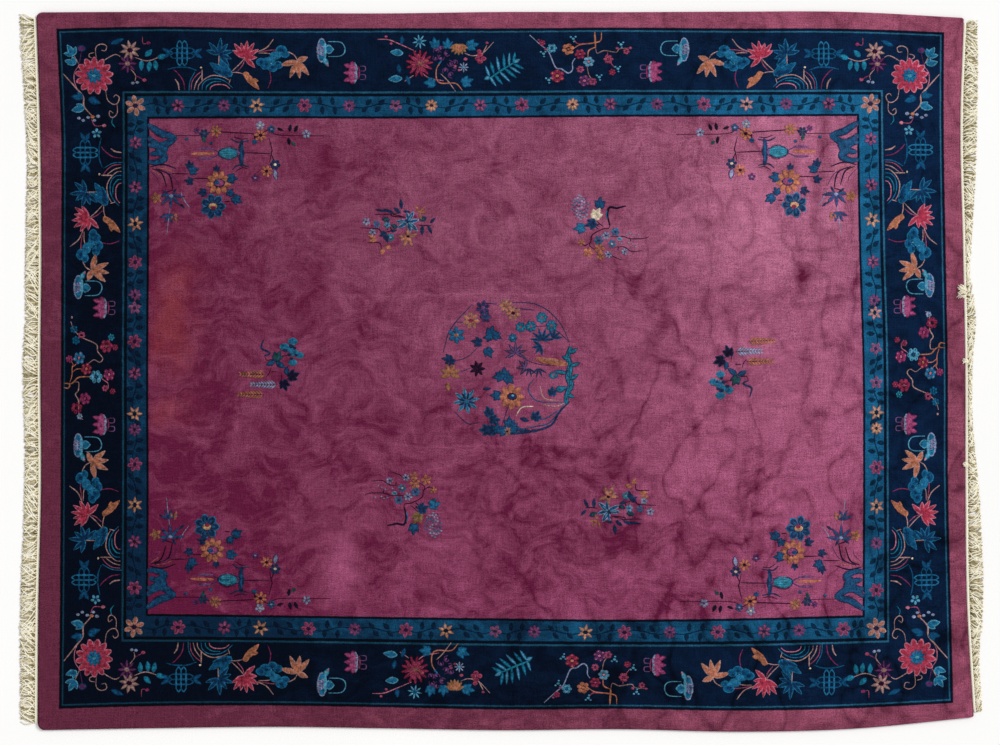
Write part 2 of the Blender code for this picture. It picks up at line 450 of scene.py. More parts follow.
def wear_and_shade_of(paint):
    """How worn, how red and how lit the wool is: a painted light slope, three noises, patches, folds of
    painted shade and highlight, and wrinkles of painted shade.
    """
    noise = {"Vector": paint.place, "Scale": 3.5, "Detail": 3.0, "Roughness": 0.55}
    drift = paint.node("TexNoise", {}, noise, "Color")
    drift = paint.node("VectorMath", {"operation": "SUBTRACT"}, {0: drift, 1: (0.5, 0.5, 0.5)})
    moved = moved_place(paint, drift, PATCH_DRIFT)
    x, y = paint.axes(moved)
    lighter, redder = patched(x, y, PATCHES)
    # The folds: painted shade in hollows, painted highlight on crests, and worn spots.
    folds = patched(*paint.axes(moved_place(paint, drift, FOLD_DRIFT)), FOLDS)[0]
    clouds = paint.noise(5.0, 3, 0.5, place=moved) - 0.5
    puffs = paint.noise(11.0, 2, 0.5, place=moved) - 0.5
    streaks = paint.noise(24.0, 6, 0.7, (1.7, 1.0, 1.0), moved) - 0.5
    right = (x * 0.5 + 0.5).clip()
    # Painted light: the wool grows lighter towards the right and the top, where the light falls.
    lighter = lighter + x * LIGHT_SLOPE_ALONG + y * LIGHT_SLOPE_ACROSS + WEAR
    lighter = lighter + clouds * CLOUDS + puffs * right * PUFFS_RIGHT
    lighter = lighter + streaks * (STREAKS + right * STREAKS_RIGHT)
    # The folds add painted shade and painted highlight. The wrinkles take away painted shade.
    lighter = (lighter * WEAR_AND_SHADE_CONTRAST).clip() + (folds - wrinkles_of(paint) * WRINKLE_SHADE) * WEAR_AND_SHADE_CONTRAST
    redder = redder * (paint.noise(13.0, 3, 0.6) * 1.8 + 0.35)
    return lighter.clip(), redder.clip()


def wrinkles_of(paint):
    """Soft wrinkles of the pile, from 0 to 1, most of them near the right end: the level lines of a noise.
    They darken the wool as painted shade, and raise its bump.
    """
    x, _ = paint.axes(paint.place)
    ridge = (paint.noise(4.6, 2, 0.5, (1.0, 1.5, 1.0)) - 0.5).math("ABSOLUTE")
    return (1.0 - ridge * 15.0).clip() ** 2 * (paint.noise(2.2) * 3.0 + x * 0.8 - 1.3).clip()


# A run of knots in the pile's grain, and the depth of its tufts
RUN_LENGTH = 0.060
RUN_WIDTH = 0.0045
TUFT_DEPTH = 0.0015


def nap_of(paint):
    """The grain of the cut pile: runs of knots both ways, and fine noise, around 1."""
    rows = paint.noise(1.0, 2, 0.5, (RUN_LENGTH, RUN_WIDTH, 1)) - 0.5
    files = paint.noise(1.0, 2, 0.5, (RUN_WIDTH, RUN_LENGTH, 1)) - 0.5
    fine = paint.noise(260.0, 2, 0.6) - 0.5
    return rows * 0.75 + files * 0.75 + fine * 2.4 + 1.0


def nap_bump(paint, strength):
    """Tufts of the pile as a bump: fine noise, with the clipped rows and the soft wrinkles in it."""
    tufts = paint.noise(420.0, 2, 0.6) + paint.noise(1.0, 1, 0.5, (0.02, 0.004, 1)) * 0.5
    return paint.bump(strength, TUFT_DEPTH, tufts + wrinkles_of(paint) * 3.5)


# Bands of the design from the field outward. Start is 0 at the field's edge and 1 at the guard line. Each
# colour is given fresh and faded. The wool is mixed between the two by its wear and by painted light and
# shade.
Band = namedtuple("Band", "start fresh faded")
PLUM = ((92, 25, 56), (190, 114, 146))
NAVY_LINE = ((4, 8, 16), (15, 28, 54))
TEAL = ((9, 34, 57), (32, 113, 160))
NAVY = ((4, 10, 24), (14, 40, 75))
BLUE_LINE = ((14, 48, 66), (50, 120, 156))
EDGE = ((94, 40, 60), (177, 94, 123))
BANDS = (
    Band(-0.05, *PLUM),
    Band(0.000, *NAVY_LINE),
    Band(0.026, *TEAL),
    Band(0.246, *NAVY_LINE),
    Band(0.280, *BLUE_LINE),
    Band(0.300, *NAVY),
    Band(0.953, *BLUE_LINE),
    Band(0.969, *NAVY_LINE),
    Band(1.000, *EDGE),
)
MINOR_BORDER_END = 0.25
BAND_LOW = -0.05
BAND_SPAN = 1.10
BAND_BLEND = 0.003
BAND_WOBBLE = 0.012
FIELD_STEEPNESS = 40.0

# Colours over the bands: the field's purer plum, rust stains, the shade at the web, bare foundation
PURER_PLUM = linear(160, 44, 106)
STAIN = linear(132, 50, 48)
END_SHADE = linear(58, 34, 36)
FOUNDATION = linear(214, 188, 190)
STAIN_STRENGTH = 0.55
PURER = 0.20
PURER_ACROSS = 0.42
END_SHADE_WIDTH = 0.007
SPECK_RADIUS = 0.024
SPECK_SHARE = 0.06


def band_stops(which):
    """A ramp's stops for the bands: each colour up to just before the next band starts, then the next."""
    stops = []
    for band, following in zip(BANDS, (*BANDS[1:], None)):
        colour = linear(*getattr(band, which))
        stops.append(((band.start - BAND_LOW) / BAND_SPAN, colour))
        if following:
            stops.append(((following.start - BAND_BLEND - BAND_LOW) / BAND_SPAN, colour))
    return stops


def ground_of(paint):
    """The bands' colour, worn and with painted light and shade. A point's band is the larger of its shares
    past the field both ways.
    """
    u, v = paint.map_axes("design")
    past_u = (u.math("ABSOLUTE") - FIELD_HALF_LENGTH) / (GUARD_HALF_LENGTH - FIELD_HALF_LENGTH)
    past_v = (v.math("ABSOLUTE") - FIELD_HALF_WIDTH) / (GUARD_HALF_WIDTH - FIELD_HALF_WIDTH)
    wobble = (paint.noise(60.0, 2, 0.6) - 0.5) * BAND_WOBBLE
    band = past_u.math("MAXIMUM", past_v) + wobble
    place = (band - BAND_LOW) / BAND_SPAN
    lighter, redder = wear_and_shade_of(paint)
    fresh, faded = (paint.ramp(band_stops(which), place) for which in ("fresh", "faded"))
    colour = paint.mix(lighter, fresh, faded)
    in_field = (band * -FIELD_STEEPNESS).clip()
    purer = (lighter * (PURER - v * PURER_ACROSS)).clip() * in_field
    colour = paint.mix(purer, colour, PURER_PLUM)
    return paint.mix(redder * in_field * STAIN_STRENGTH, colour, STAIN), lighter, in_field, band


def finish_wool(paint, colour):
    """Finishes a material as cut wool: its grain, its dull roughness, its tufts."""
    rough = paint.noise(90.0) * 0.1 + 0.88
    bump = nap_bump(paint, 0.35)
    colour = paint.tinted(colour, nap_of(paint))
    return paint.finish(Base_Color=colour, Roughness=rough, Normal=bump, Specular_IOR_Level=0.03)


def pile_material():
    """The woven bands, with a few specks of bare white foundation."""
    paint = Paint("plum_wool_pile")
    colour = ground_of(paint)[0]
    u, _ = paint.map_axes("design")
    at_end = ((u.math("ABSOLUTE") - HALF_LENGTH + END_SHADE_WIDTH) / END_SHADE_WIDTH).clip()
    colour = paint.mix(at_end * 0.7, colour, END_SHADE)
    cells = {"Vector": paint.place, "Scale": 9.0}
    near = paint.node("TexVoronoi", {}, cells, "Distance").math("LESS_THAN", SPECK_RADIUS)
    chance, _ = paint.axes(paint.node("TexVoronoi", {}, cells, "Color"))
    colour = paint.mix(near * chance.math("GREATER_THAN", 1 - SPECK_SHARE), colour, FOUNDATION)
    return finish_wool(paint, colour)


# A dye's brightness: fresh, what fading and the ground's painted light and shade add, and its mottling. Then
# how much of it still covers the ground.
DYE_FRESH = 0.58
DYE_FADED_AND_LIT = 0.72
DYE_MOTTLE = 1.8
COVER = 0.92
LESS_IN_MINOR = 0.10
MORE_IN_FIELD = 0.15


def dyed_material():
    """Wool of the motifs: each stroke's own dye, worn through to the ground's colour at its ragged sides."""
    paint = Paint("dyed_wool_motifs")
    ground, lighter, in_field, band = ground_of(paint)
    dye = paint.node("Attribute", {"attribute_name": "dye"}, {}, "Color")
    core = paint.node("Attribute", {"attribute_name": "dye"}, {}, "Alpha")
    mottle = paint.noise(70.0, 3, 0.6) - 0.5
    # The ground's lighter value brings its painted light slope and painted fold and wrinkle shade into the
    # dye.
    colour = paint.tinted(dye, lighter * DYE_FADED_AND_LIT + mottle * DYE_MOTTLE + DYE_FRESH - in_field * 0.10)
    ragged = (paint.noise(170.0, 2, 0.6) - 0.5) * 0.9
    kept = COVER - band.math("LESS_THAN", MINOR_BORDER_END) * LESS_IN_MINOR + in_field * MORE_IN_FIELD
    cover = ((core + ragged) * 4.0 - 0.5 + mottle).clip() * kept
    return finish_wool(paint, paint.mix(cover, ground, colour))


# Cotton from soiled to clean, its dark end also painted shade at the cords' roots and under the upper cords;
# the cords' twist; and how long a root's painted shade runs
COTTON = (
    (0.0, linear(70, 62, 34)),
    (0.30, linear(156, 142, 100)),
    (0.60, linear(226, 215, 184)),
    (1.0, linear(254, 249, 230)),
)
PLIES = 2
TWIST_LENGTH = 0.009
PLY_DEPTH = 0.0006
ROOT_LENGTH = 0.016


def cotton_material():
    """Undyed cotton, cream to olive with soil, darker at the roots as painted shade. A sine winds the plies
    round a cord and darkens their grooves a little, also painted shade.
    """
    paint = Paint("cream_cotton_cords")
    around, along = paint.map_axes("cord")
    plies = ((around * PLIES + along / TWIST_LENGTH) * (2 * np.pi)).math("SINE")
    tone = paint.node("Attribute", {"attribute_name": "tone"}, {}, "Fac")
    soil = paint.noise(9.0, 4, 0.6) * 0.30 + paint.noise(70.0, 3, 0.6) * 0.50
    # Painted shade at the root of each cord next to the web, and a little painted shade in the plies'
    # grooves.
    root = (1.0 - along / ROOT_LENGTH).clip() * (along * 400.0).clip()
    shade = (tone * 0.84 + soil - 0.24 + plies * 0.05 - root * 0.30).clip()
    bump = paint.bump(0.5, PLY_DEPTH, plies + paint.noise(900.0))
    colour = paint.ramp(COTTON, shade)
    return paint.finish(Base_Color=colour, Roughness=0.92, Normal=bump, Specular_IOR_Level=0.1)


# Pile


def lines_of(half, count, stops):
    """Lines of the design across one direction: even ones, the band lines, and close ones at the corners."""
    corner = half - LEFT_CORNER * np.linspace(0, 1, CORNER_LINES)
    even = np.linspace(-half, half, count)
    even = even[np.abs(even) < half - LEFT_CORNER]
    return np.unique(np.round(np.concatenate([even, stops, corner, -corner]), 6))


def drawn_in(along, half, inset):
    """A coordinate pulled in by inset at the rim, less by a high power away from it."""
    return along - np.sign(along) * inset * (np.abs(along) / half) ** RIM_POWER


def layer(u, v, inset, height):
    """One layer of the sheet: its design places and its points at a height above the underside."""
    bent_u, bent_v = rounded(u, v)
    u_in = drawn_in(bent_u, HALF_LENGTH, inset)
    v_in = drawn_in(bent_v, HALF_WIDTH, inset)
    x, y = lay(u_in, v_in)
    z = lifted(x, y) + height
    if height == THICKNESS:
        z = pile_top(x, y)
    return np.stack([u_in, v_in], axis=-1).reshape(-1, 2), np.stack([x, y, z], axis=-1).reshape(-1, 3)


def rim_of(index):
    """The outer ring of a grid of point numbers, counter-clockwise seen from above."""
    return np.concatenate([index[:-1, 0], index[-1, :-1], index[:0:-1, -1], index[0, :0:-1]])


def build_pile(material):
    """The knotted sheet: top and underside on one grid, joined by rings along an elliptic edge."""
    lines_u = lines_of(HALF_LENGTH, LINES_ALONG, END_STOPS)
    lines_v = lines_of(HALF_WIDTH, LINES_ACROSS, LONG_STOPS)
    u, v = np.meshgrid(lines_u, lines_v, indexing="ij")
    index = np.arange(u.size).reshape(u.shape)
    ring = rim_of(index)
    places, points = zip(layer(u, v, TOP_INSET, THICKNESS), layer(u, v, BOTTOM_INSET, 0.0))
    places, points = list(places), list(points)
    rings = [ring]
    for turn in np.radians(EDGE_TURNS):
        if turn > 0:
            inset = TOP_INSET * (1 - np.cos(turn))
            height = WIDEST_AT + (THICKNESS - WIDEST_AT) * np.sin(turn)
        else:
            inset = BOTTOM_INSET * (1 - np.cos(turn))
            height = WIDEST_AT + WIDEST_AT * np.sin(turn)
        ring_places, ring_points = layer(u, v, inset, height)
        rings.append(sum(map(len, points)) + np.arange(len(ring)))
        places.append(ring_places[ring])
        points.append(ring_points[ring])
    rings.append(ring + u.size)
    quads = np.stack([index[:-1, :-1], index[1:, :-1], index[1:, 1:], index[:-1, 1:]], axis=-1).reshape(-1, 4)
    pairs = zip(rings, rings[1:])
    walls = [np.stack([low, np.roll(low, -1), np.roll(high, -1), high], axis=-1) for high, low in pairs]
    faces = np.concatenate([quads, (quads + u.size)[:, ::-1], *walls])
    pile = add_mesh("rug_pile", np.concatenate(points), [faces])
    set_map(pile, "design", np.concatenate(places))
    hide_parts("pile")
    return wear_piece(pile, material)


# Strips and strokes

# Profiles across a strip, half its width and its height at 1: a stroke, the web and a cord
STRIP = np.array([(-1.0, 0.0), (-0.62, 0.8), (0.0, 1.0), (0.62, 0.8), (1.0, 0.0), (0.0, -0.6)])
FLAT = np.array([(-1.0, 0.0), (-0.86, 1.0), (0.86, 1.0), (1.0, 0.0), (0.86, -1.0), (-0.86, -1.0)])
ROUND = np.array([(-1.0, 0.0), (-0.5, 0.87), (0.5, 0.87), (1.0, 0.0), (0.5, -0.87), (-0.5, -0.87)])

# How far inside a stroke each point of its profile is: 1 at the middle, 0 at the sides
STRIP_CORE = np.array([0.0, 0.55, 1.0, 0.55, 0.0, 0.0])
TIP_SHARE = 0.6


def strips(paths, halves, heights, profile):
    """Closed strips: the profile, half wide and height high, carried along each path, with pointed ends."""
    run = np.gradient(paths[..., :2], axis=1)
    run /= np.maximum(np.linalg.norm(run, axis=-1, keepdims=True), 1e-9)
    across = np.stack([-run[..., 1], run[..., 0]], axis=-1)
    count, sections, sides = paths.shape[0], paths.shape[1], len(profile)
    flat = paths[:, :, None, :2] + across[:, :, None] * (halves[..., None] * profile[:, 0])[..., None]
    rise = paths[:, :, None, 2] + heights[..., None] * profile[:, 1]
    rings = np.concatenate([flat, rise[..., None]], axis=-1).reshape(count, -1, 3)
    tips = np.stack([paths[:, 0], paths[:, -1]], axis=1)
    tips[:, 0, :2] -= run[:, 0] * halves[:, :1] * TIP_SHARE
    tips[:, 1, :2] += run[:, -1] * halves[:, -1:] * TIP_SHARE
    points = np.concatenate([rings, tips], axis=1)
    ring = np.arange(sections * sides).reshape(sections, sides)
    ahead = np.roll(ring, -1, axis=1)
    quads = np.stack([ring[:-1], ring[1:], ahead[1:], ahead[:-1]], axis=-1).reshape(-1, 4)
    start = np.full(sides, sections * sides)
    first_cap = np.stack([start, ring[0], ahead[0]], axis=-1)
    caps = np.concatenate([first_cap, np.stack([start + 1, ahead[-1], ring[-1]], axis=-1)])
    offsets = (np.arange(count) * (sections * sides + 2))[:, None, None]
    return points.reshape(-1, 3), (quads + offsets).reshape(-1, 4), (caps + offsets).reshape(-1, 3)


def joined(parts):
    """Sets of strips as one: their points, quads and caps, each set numbered on from the one before."""
    starts = np.cumsum([0, *(len(points) for points, _, _ in parts)])
    moved = [(points, quads + start, caps + start) for (points, quads, caps), start in zip(parts, starts)]
    return [np.concatenate(arrays) for arrays in zip(*moved)]


def set_attribute(piece, name, kind, field, values):
    """A value at each vertex, for a material to read."""
    attribute = piece.data.attributes.new(name, kind, "POINT")
    attribute.data.foreach_set(field, np.concatenate(values).astype(np.float32).ravel())


DYES = {
    "ink": linear(10, 20, 42),
    "navy": linear(16, 52, 88),
    "deep": linear(18, 80, 120),
    "blue": linear(32, 106, 146),
    "sky": linear(82, 150, 180),
    "mist": linear(132, 144, 176),
    "teal": linear(26, 122, 146),
    "green": linear(26, 78, 80),
    "orange": linear(184, 113, 87),
    "amber": linear(165, 105, 79),
    "ochre": linear(132, 104, 70),
    "clay": linear(142, 110, 106),
    "red": linear(171, 54, 77),
    "crimson": linear(136, 42, 70),
    "pink": linear(192, 112, 134),
    "rose": linear(158, 72, 100),
    "magenta": linear(132, 46, 90),
    "orchid": linear(158, 72, 116),
    "mauve": linear(112, 74, 118),
    "purple": linear(92, 48, 96),
    "wine": linear(46, 14, 40),
    "tan": linear(172, 134, 130),
    "straw": linear(194, 152, 112),
    "cream": linear(220, 204, 180),
}

# How much each level raises a stroke, how deep its foot lies in the pile, and its height
STROKE_LEVEL = 0.00022
STROKE_SINK = 0.0004
STROKE_HEIGHT = 0.0011

# Places along a petal, and its half width there for each form
PETAL_PLACES = np.array([0.05, 0.2, 0.4, 0.6, 0.8, 0.95])
FORMS = {
    "petal": np.sin(np.pi * PETAL_PLACES**1.5) ** 0.6,
    "leaf": np.sin(np.pi * PETAL_PLACES**0.85) ** 0.9,
    "round": np.sqrt(1 - (2 * PETAL_PLACES - 1) ** 2),
}

# A petal's rim, a stem's width at its ends as a share of its middle's, and its steps between two points
RIM_WIDTH = 0.9
STEM_END = 0.55
PATH_STEPS = 4


def direction(degrees):
    """The unit vector at an angle, counter-clockwise from the first axis."""
    return np.array([np.cos(np.radians(degrees)), np.sin(np.radians(degrees))])


def smooth_path(points):
    """A curve through points, by the Catmull-Rom cubic between each two, in even steps."""
    points = np.array(points, float)
    padded = np.concatenate([[2 * points[0] - points[1]], points, [2 * points[-1] - points[-2]]])
    before, start, end, after = padded[:-3], padded[1:-2], padded[2:-1], padded[3:]
    t = (np.arange(PATH_STEPS) / PATH_STEPS)[None, :, None]
    before, start, end, after = (p[:, None] for p in (before, start, end, after))
    cube = 3 * (start - end) + after - before
    square = 2 * before - 5 * start + 4 * end - after
    curve = start + 0.5 * t * (end - before + t * (square + t * cube))
    return np.concatenate([curve.reshape(-1, 2), points[-1:]])


class Pen:
    """Draws strokes of dyed wool on its own axes: a point (a, b) lands at origin + a * right + b * up."""

    def __init__(self, strokes, origin=(0.0, 0.0), right=(1.0, 0.0), up=(0.0, 1.0)):
        self.strokes = strokes
        self.origin = np.array(origin, float)
        self.axes = np.array([right, up], float)

    def at(self, x, y, turn=0.0):
        """A pen whose axes are this one's, moved and turned by degrees."""
        c, s = direction(turn)
        right, up = np.array([[c, s], [-s, c]]) @ self.axes
        return Pen(self.strokes, self.origin + np.array([x, y]) @ self.axes, right, up)

    def stroke(self, points, halves, dye, level):
        """Keeps one stroke: its points and half widths on the chart, its dye and its level."""
        self.strokes.append((self.origin + points @ self.axes, halves, dye, level))

    def petal(self, x, y, angle, length, width, dye, rim=None, level=1, form="petal"):
        """One petal from its root: a straight run as wide as its form, on a larger one where it has a rim."""
        run = direction(angle)
        for grown, colour, raised in ((RIM_WIDTH, rim, 0), (0.0, dye, 1)):
            if colour:
                along = PETAL_PLACES * (length + 2 * grown) - grown
                halves = FORMS[form] * (width / 2 + grown)
                self.stroke(np.array([x, y]) + along[:, None] * run, halves, colour, level + raised)

    def dot(self, x, y, radius, dye, rim=None, level=3):
        """A round petal about a point."""
        self.petal(x - radius, y, 0, 2 * radius, 2 * radius, dye, rim, level, "round")

    def stem(self, points, width, dye, level=0):
        """A stroke through points, thinner towards both ends."""
        path = smooth_path(points)
        share = np.linspace(0, 1, len(path))
        self.stroke(path, width / 2 * (STEM_END + (1 - STEM_END) * np.sin(np.pi * share)), dye, level)

    def bloom(self, x, y, radius, petals, dye, eye, rim=None, plump=1.0, turn=0.0, level=1, form="petal"):
        """Petals around a middle, each as wide as its share of the circle, and a round eye."""
        width = plump * 2 * np.pi * 0.7 * radius / petals
        for k in range(petals):
            angle = turn + 360 * k / petals
            root = 0.12 * radius * direction(angle)
            self.petal(x + root[0], y + root[1], angle, 0.88 * radius, width, dye, rim, level, form)
        if eye:
            self.dot(x, y, 0.28 * radius, eye, None, level + 3)

    def round_bloom(self, x, y, radius, dye, eye):
        """A small flower of round petals with pale tips, as a knotter draws plum blossom."""
        for k in range(6):
            out = direction(60 * k + 12 * radius) * radius
            self.dot(x + 0.62 * out[0], y + 0.62 * out[1], 0.36 * radius, dye, None, 1)
            self.dot(x + 0.74 * out[0], y + 0.74 * out[1], 0.11 * radius, eye, None, 3)
        self.dot(x, y, 0.24 * radius, eye, None, 3)

    def round_blooms(self, rows):
        """Several small flowers: rows of x, y, radius, dye, eye."""
        for row in rows:
            self.round_bloom(*row)

    def leaves(self, rows, dye, rim=None, level=1):
        """Several leaves: rows of root x, root y, angle, length, width."""
        for x, y, angle, length, width in rows:
            self.petal(x, y, angle, length, width, dye, rim, level, "leaf")

    def dots(self, rows, dye, rim=None, level=3):
        """Several dots: rows of x, y, radius."""
        for x, y, radius in rows:
            self.dot(x, y, radius, dye, rim, level)

    def stems(self, paths, width, dye, level=0):
        """Several stems of one width and dye."""
        for path in paths:
            self.stem(path, width, dye, level)

    def blooms(self, rows, petals, rim=None, plump=1.0):
        """Several blooms: rows of x, y, radius, dye, eye. Each is turned by 12 degrees times its radius."""
        for x, y, radius, dye, eye in rows:
            self.bloom(x, y, radius, petals, dye, eye, rim, plump, 12 * radius)

    def maples(self, rows, dye, rim=None):
        """Toothed leaves: rows of middle x, middle y, size, turn. Five broad pointed lobes leave one root."""
        for x, y, size, turn in rows:
            run = direction(turn) * size * 0.42
            for spread, share in ((-84, 0.5), (84, 0.5), (-42, 0.86), (42, 0.86), (0, 1.12)):
                lobe = (turn + spread, share * size, 0.56 * size)
                self.petal(x - run[0], y - run[1], *lobe, dye, rim, 1, "leaf")


def fan(x, y, turn, count, spread, length, width):
    """Rows of leaves from one root, spread evenly about a direction."""
    return [(x, y, turn + spread * (k / (count - 1) - 0.5), length, width) for k in range(count)]


def build_strokes(name, strokes, material):
    """Strokes laid on the pile: each a low strip, raised a little more for each level."""
    groups = {}
    for stroke in strokes:
        groups.setdefault(len(stroke[1]), []).append(stroke)
    parts, colours, designs = [], [], []
    for sections, group in sorted(groups.items()):
        places = np.stack([s[0] for s in group]) * UNIT
        halves = np.stack([s[1] for s in group]) * UNIT
        x, y = lay(places[..., 0], places[..., 1])
        raised = np.array([s[3] for s in group])[:, None] * STROKE_LEVEL - STROKE_SINK
        paths = np.stack([x, y, pile_top(x, y) + raised], axis=-1)
        parts.append(strips(paths, halves, np.full_like(halves, STROKE_HEIGHT), STRIP))
        core = np.append(np.tile(STRIP_CORE, sections), [0, 0])
        tint = np.repeat(np.array([DYES[s[2]] for s in group])[:, None], len(core), axis=1)
        tint[..., 3] = core
        colours.append(tint.reshape(-1, 4))
        ringed = np.repeat(places, len(STRIP), axis=1)
        designs.append(np.concatenate([ringed, places[:, :1], places[:, -1:]], axis=1).reshape(-1, 2))
    points, quads, caps = joined(parts)
    piece = add_mesh(name, points, [quads, caps])
    set_attribute(piece, "dye", "FLOAT_COLOR", "color", colours)
    set_map(piece, "design", np.concatenate(designs))
    return wear_piece(piece, material)


# Motifs of the main border


def draw_spray(pen):
    """The water plants of a half side: blue and red lotus, leaves, a pod and reeds, above the inner line."""
    pen.stem([(-68, 0), (-69, 6), (-72, 10.5)], 1.8, "tan")
    pen.stem([(-62.4, 0), (-64, 9), (-70, 17), (-74, 20)], 1.3, "magenta")
    pen.stem([(-58, -1.5), (-57.2, 8.3), (-52, 18)], 1.2, "blue")
    pen.stem([(-56, 0), (-55, 8), (-51, 14), (-46, 18)], 1.2, "rose")
    pen.stem([(-53, 0), (-51, 7), (-46, 14)], 1.3, "tan")
    pen.stem([(-49, 0), (-48, 5), (-42, 11), (-34, 14.4), (-24, 13), (-18, 10)], 1.3, "tan")
    pen.stem([(-45, 0), (-44, 6), (-38, 10.5), (-28, 11), (-20, 7.5), (-14, 2)], 1.3, "blue")
    pen.stem([(-41, 0), (-40, 4), (-34, 8), (-26, 8.4)], 1.3, "teal")
    pen.stem([(-37, 0), (-36, 3), (-31, 5.4), (-22, 5), (-17, 1.5)], 1.3, "pink")
    pen.stem([(-45, 9), (-45, 20)], 1.7, "tan")
    pen.dot(-46, 22, 1.1, "cream")
    pen.stem([(-18, 6), (-16.5, 11)], 1.1, "tan")
    pen.stem([(-27.8, 36), (-28.2, 25)], 1.4, "tan")
    pen.stem([(-2, 32), (-7, 26), (-15, 18.5)], 1.3, "tan")
    pen.stem([(-2, 31), (-4, 25), (-9, 19)], 1.2, "rose")
    pen.stem([(-15, 17.5), (-9, 17.5), (-3, 16)], 1.3, "tan")
    pen.stem([(42, 38.5), (48, 35), (51, 30)], 1.4, "tan")
    pen.stem([(10, 38), (20, 42.5), (27, 51)], 1.4, "tan")
    pen.stem([(12, 38), (24, 40), (32, 40)], 1.2, "rose")
    pen.stem([(12, 37), (20, 37), (25, 36)], 1.1, "tan")
    pen.stem([(22.5, 22), (24.3, 11), (21.4, 2)], 1.2, "magenta")
    turns, lengths = (165, 132, 84, 50, 14, -20, -48), (13, 15, 16, 13, 15, 13, 15)
    pen.leaves([(-27.8, 35.5, turn, length, 4.4) for turn, length in zip(turns, lengths)], "navy", "blue")
    turns, lengths = (150, 128, 105, 82, 58, 32, 2, -44), (14, 17.5, 15, 17, 17.5, 16, 12, 14)
    pen.leaves([(-1.8, 32.3, turn, length, 4.6) for turn, length in zip(turns, lengths)], "red", "pink")
    pen.leaves([
        (-17, 14, 148, 24, 9), (-15, 14, 165, 19, 6), (-17, 17, 128, 17, 6), (-24, 21, -30, 11, 8),
    ], "deep", "blue")
    pen.leaves([(-21, 15, 158, 13, 3), (-22, 19, -35, 8, 3), (-19, 13, 130, 8, 2.6)], "navy", None, 4)
    pen.leaves([
        (-3, 17, -46, 22.5, 6.5), (-3, 16.5, -20, 6, 5), (2, 14, -90, 6, 5), (5, 10, -5, 6, 4),
    ], "amber", "orange")
    pen.leaves([(50.8, 29, 193, 17, 5.6), (50.8, 29, 22, 11, 5.6), (50.8, 29, 246, 18, 5.4)], "orange", "tan")
    pen.leaves([(50.8, 29, 279, 17, 5.4), (50.8, 29, 311, 18, 5.6)], "orange", "tan")
    pen.dots([
        (15, 28, 4.6), (18.5, 24.5, 4), (26, 22, 4), (31.5, 25, 4), (35, 40.5, 4.6), (38.5, 36, 3.6),
        (21, 29, 4),
    ], "deep", "blue", 1)
    pen.dots([(24, 30, 4.6), (29, 34.5, 5.6), (33, 37, 4)], "blue", None, 2)
    pen.dots([(15, 28, 2), (26, 23, 1.8), (35, 40, 2), (20, 26, 1.6), (31, 27, 1.6)], "navy", None, 4)
    pen.dots([(24.8, 26.4, 0.8), (28, 32.6, 0.8)], "sky", None, 5)


def draw_teapot(pen):
    """A teapot whose bail points along a: oval body, pointed lid, spout on the side of falling b."""
    pen.stem([(4, 8.6), (14, 8.4), (18.6, 6.6), (21, 1.5), (19.8, -3.5), (15, -6), (4.5, -6.2)], 1.4, "sky")
    pen.petal(-2.5, -11.5, 90, 23, 10.5, "blue", "mist", 1, "round")
    pen.petal(1.2, 0.8, 0, 8, 10, "blue", "sky", 1, "leaf")
    pen.petal(0.8, -9.5, 90, 18, 4, "sky", None, 3, "round")
    pen.petal(-0.5, -7.5, -62, 9.5, 4.6, "sky", "teal", 2, "leaf")
    pen.petal(2.6, -12.8, -58, 4, 2, "pink", None, 4, "leaf")
    pen.dots([
        (-4.6, -2.6, 1.2), (-4.8, 1, 1.3), (-4.4, 4.4, 1.2), (-2, -4, 1), (-1.8, -0.6, 1), (-1.8, 2.8, 1),
    ], "mauve", "mist")


def draw_basin(pen):
    """A footed basin whose feet point along a: scalloped pink bowl, a pale band, a bar and looped feet."""
    pen.petal(-1.6, -10.5, 90, 21, 9, "orchid", "magenta", 1, "round")
    pen.leaves([(-3, -6, 196, 7, 4), (-3, 0, 180, 7, 4), (-3, 6, 164, 7, 4)], "orchid", "magenta")
    pen.stem([(0.6, -10), (2.4, -5), (1.8, 0), (2.4, 5), (0.6, 10)], 3.4, "mist", 3)
    pen.dots([(2, -6, 0.9), (1.6, -2, 0.9), (1.6, 2, 0.9), (2, 6, 0.9)], "orchid", None, 5)
    pen.stem([(4.6, -6.2), (5.4, 0), (4.6, 6.2)], 2.0, "magenta", 1)
    for y in (-4.2, 4.2):
        pen.stem([(6, y - 2.4), (10.6, y - 2.3), (11.6, y), (10.6, y + 2.3), (6, y + 2.4)], 1.3, "mauve", 1)


def draw_knot(pen):
    """A plain endless knot between two leaves, over a ribbon: three bars each way with looped ends."""
    for k in (-5.0, 0.0, 5.0):
        pen.stem([(-9, k), (0, k), (9, k)], 2.3, "deep", 1)
        pen.stem([(k, -9), (k, 0), (k, 9)], 2.3, "blue", 2)
    for side in (-1, 1):
        for k in (-5.0, 0.0):
            pen.stem([(side * 9, k), (side * 12, k + 2.5), (side * 9, k + 5)], 1.9, "deep", 1)
            pen.stem([(k, side * 9), (k + 2.5, side * 12), (k + 5, side * 9)], 1.9, "blue", 1)
        pen.leaves([
            (side * 12, 0, 90 - side * 60, 9, 4), (side * 12, 0, 90 - side * 120, 9, 4),
        ], "deep", "navy")
    pen.stem([(-15, -16), (-6, -14), (6, -14), (15, -17)], 1.8, "deep")


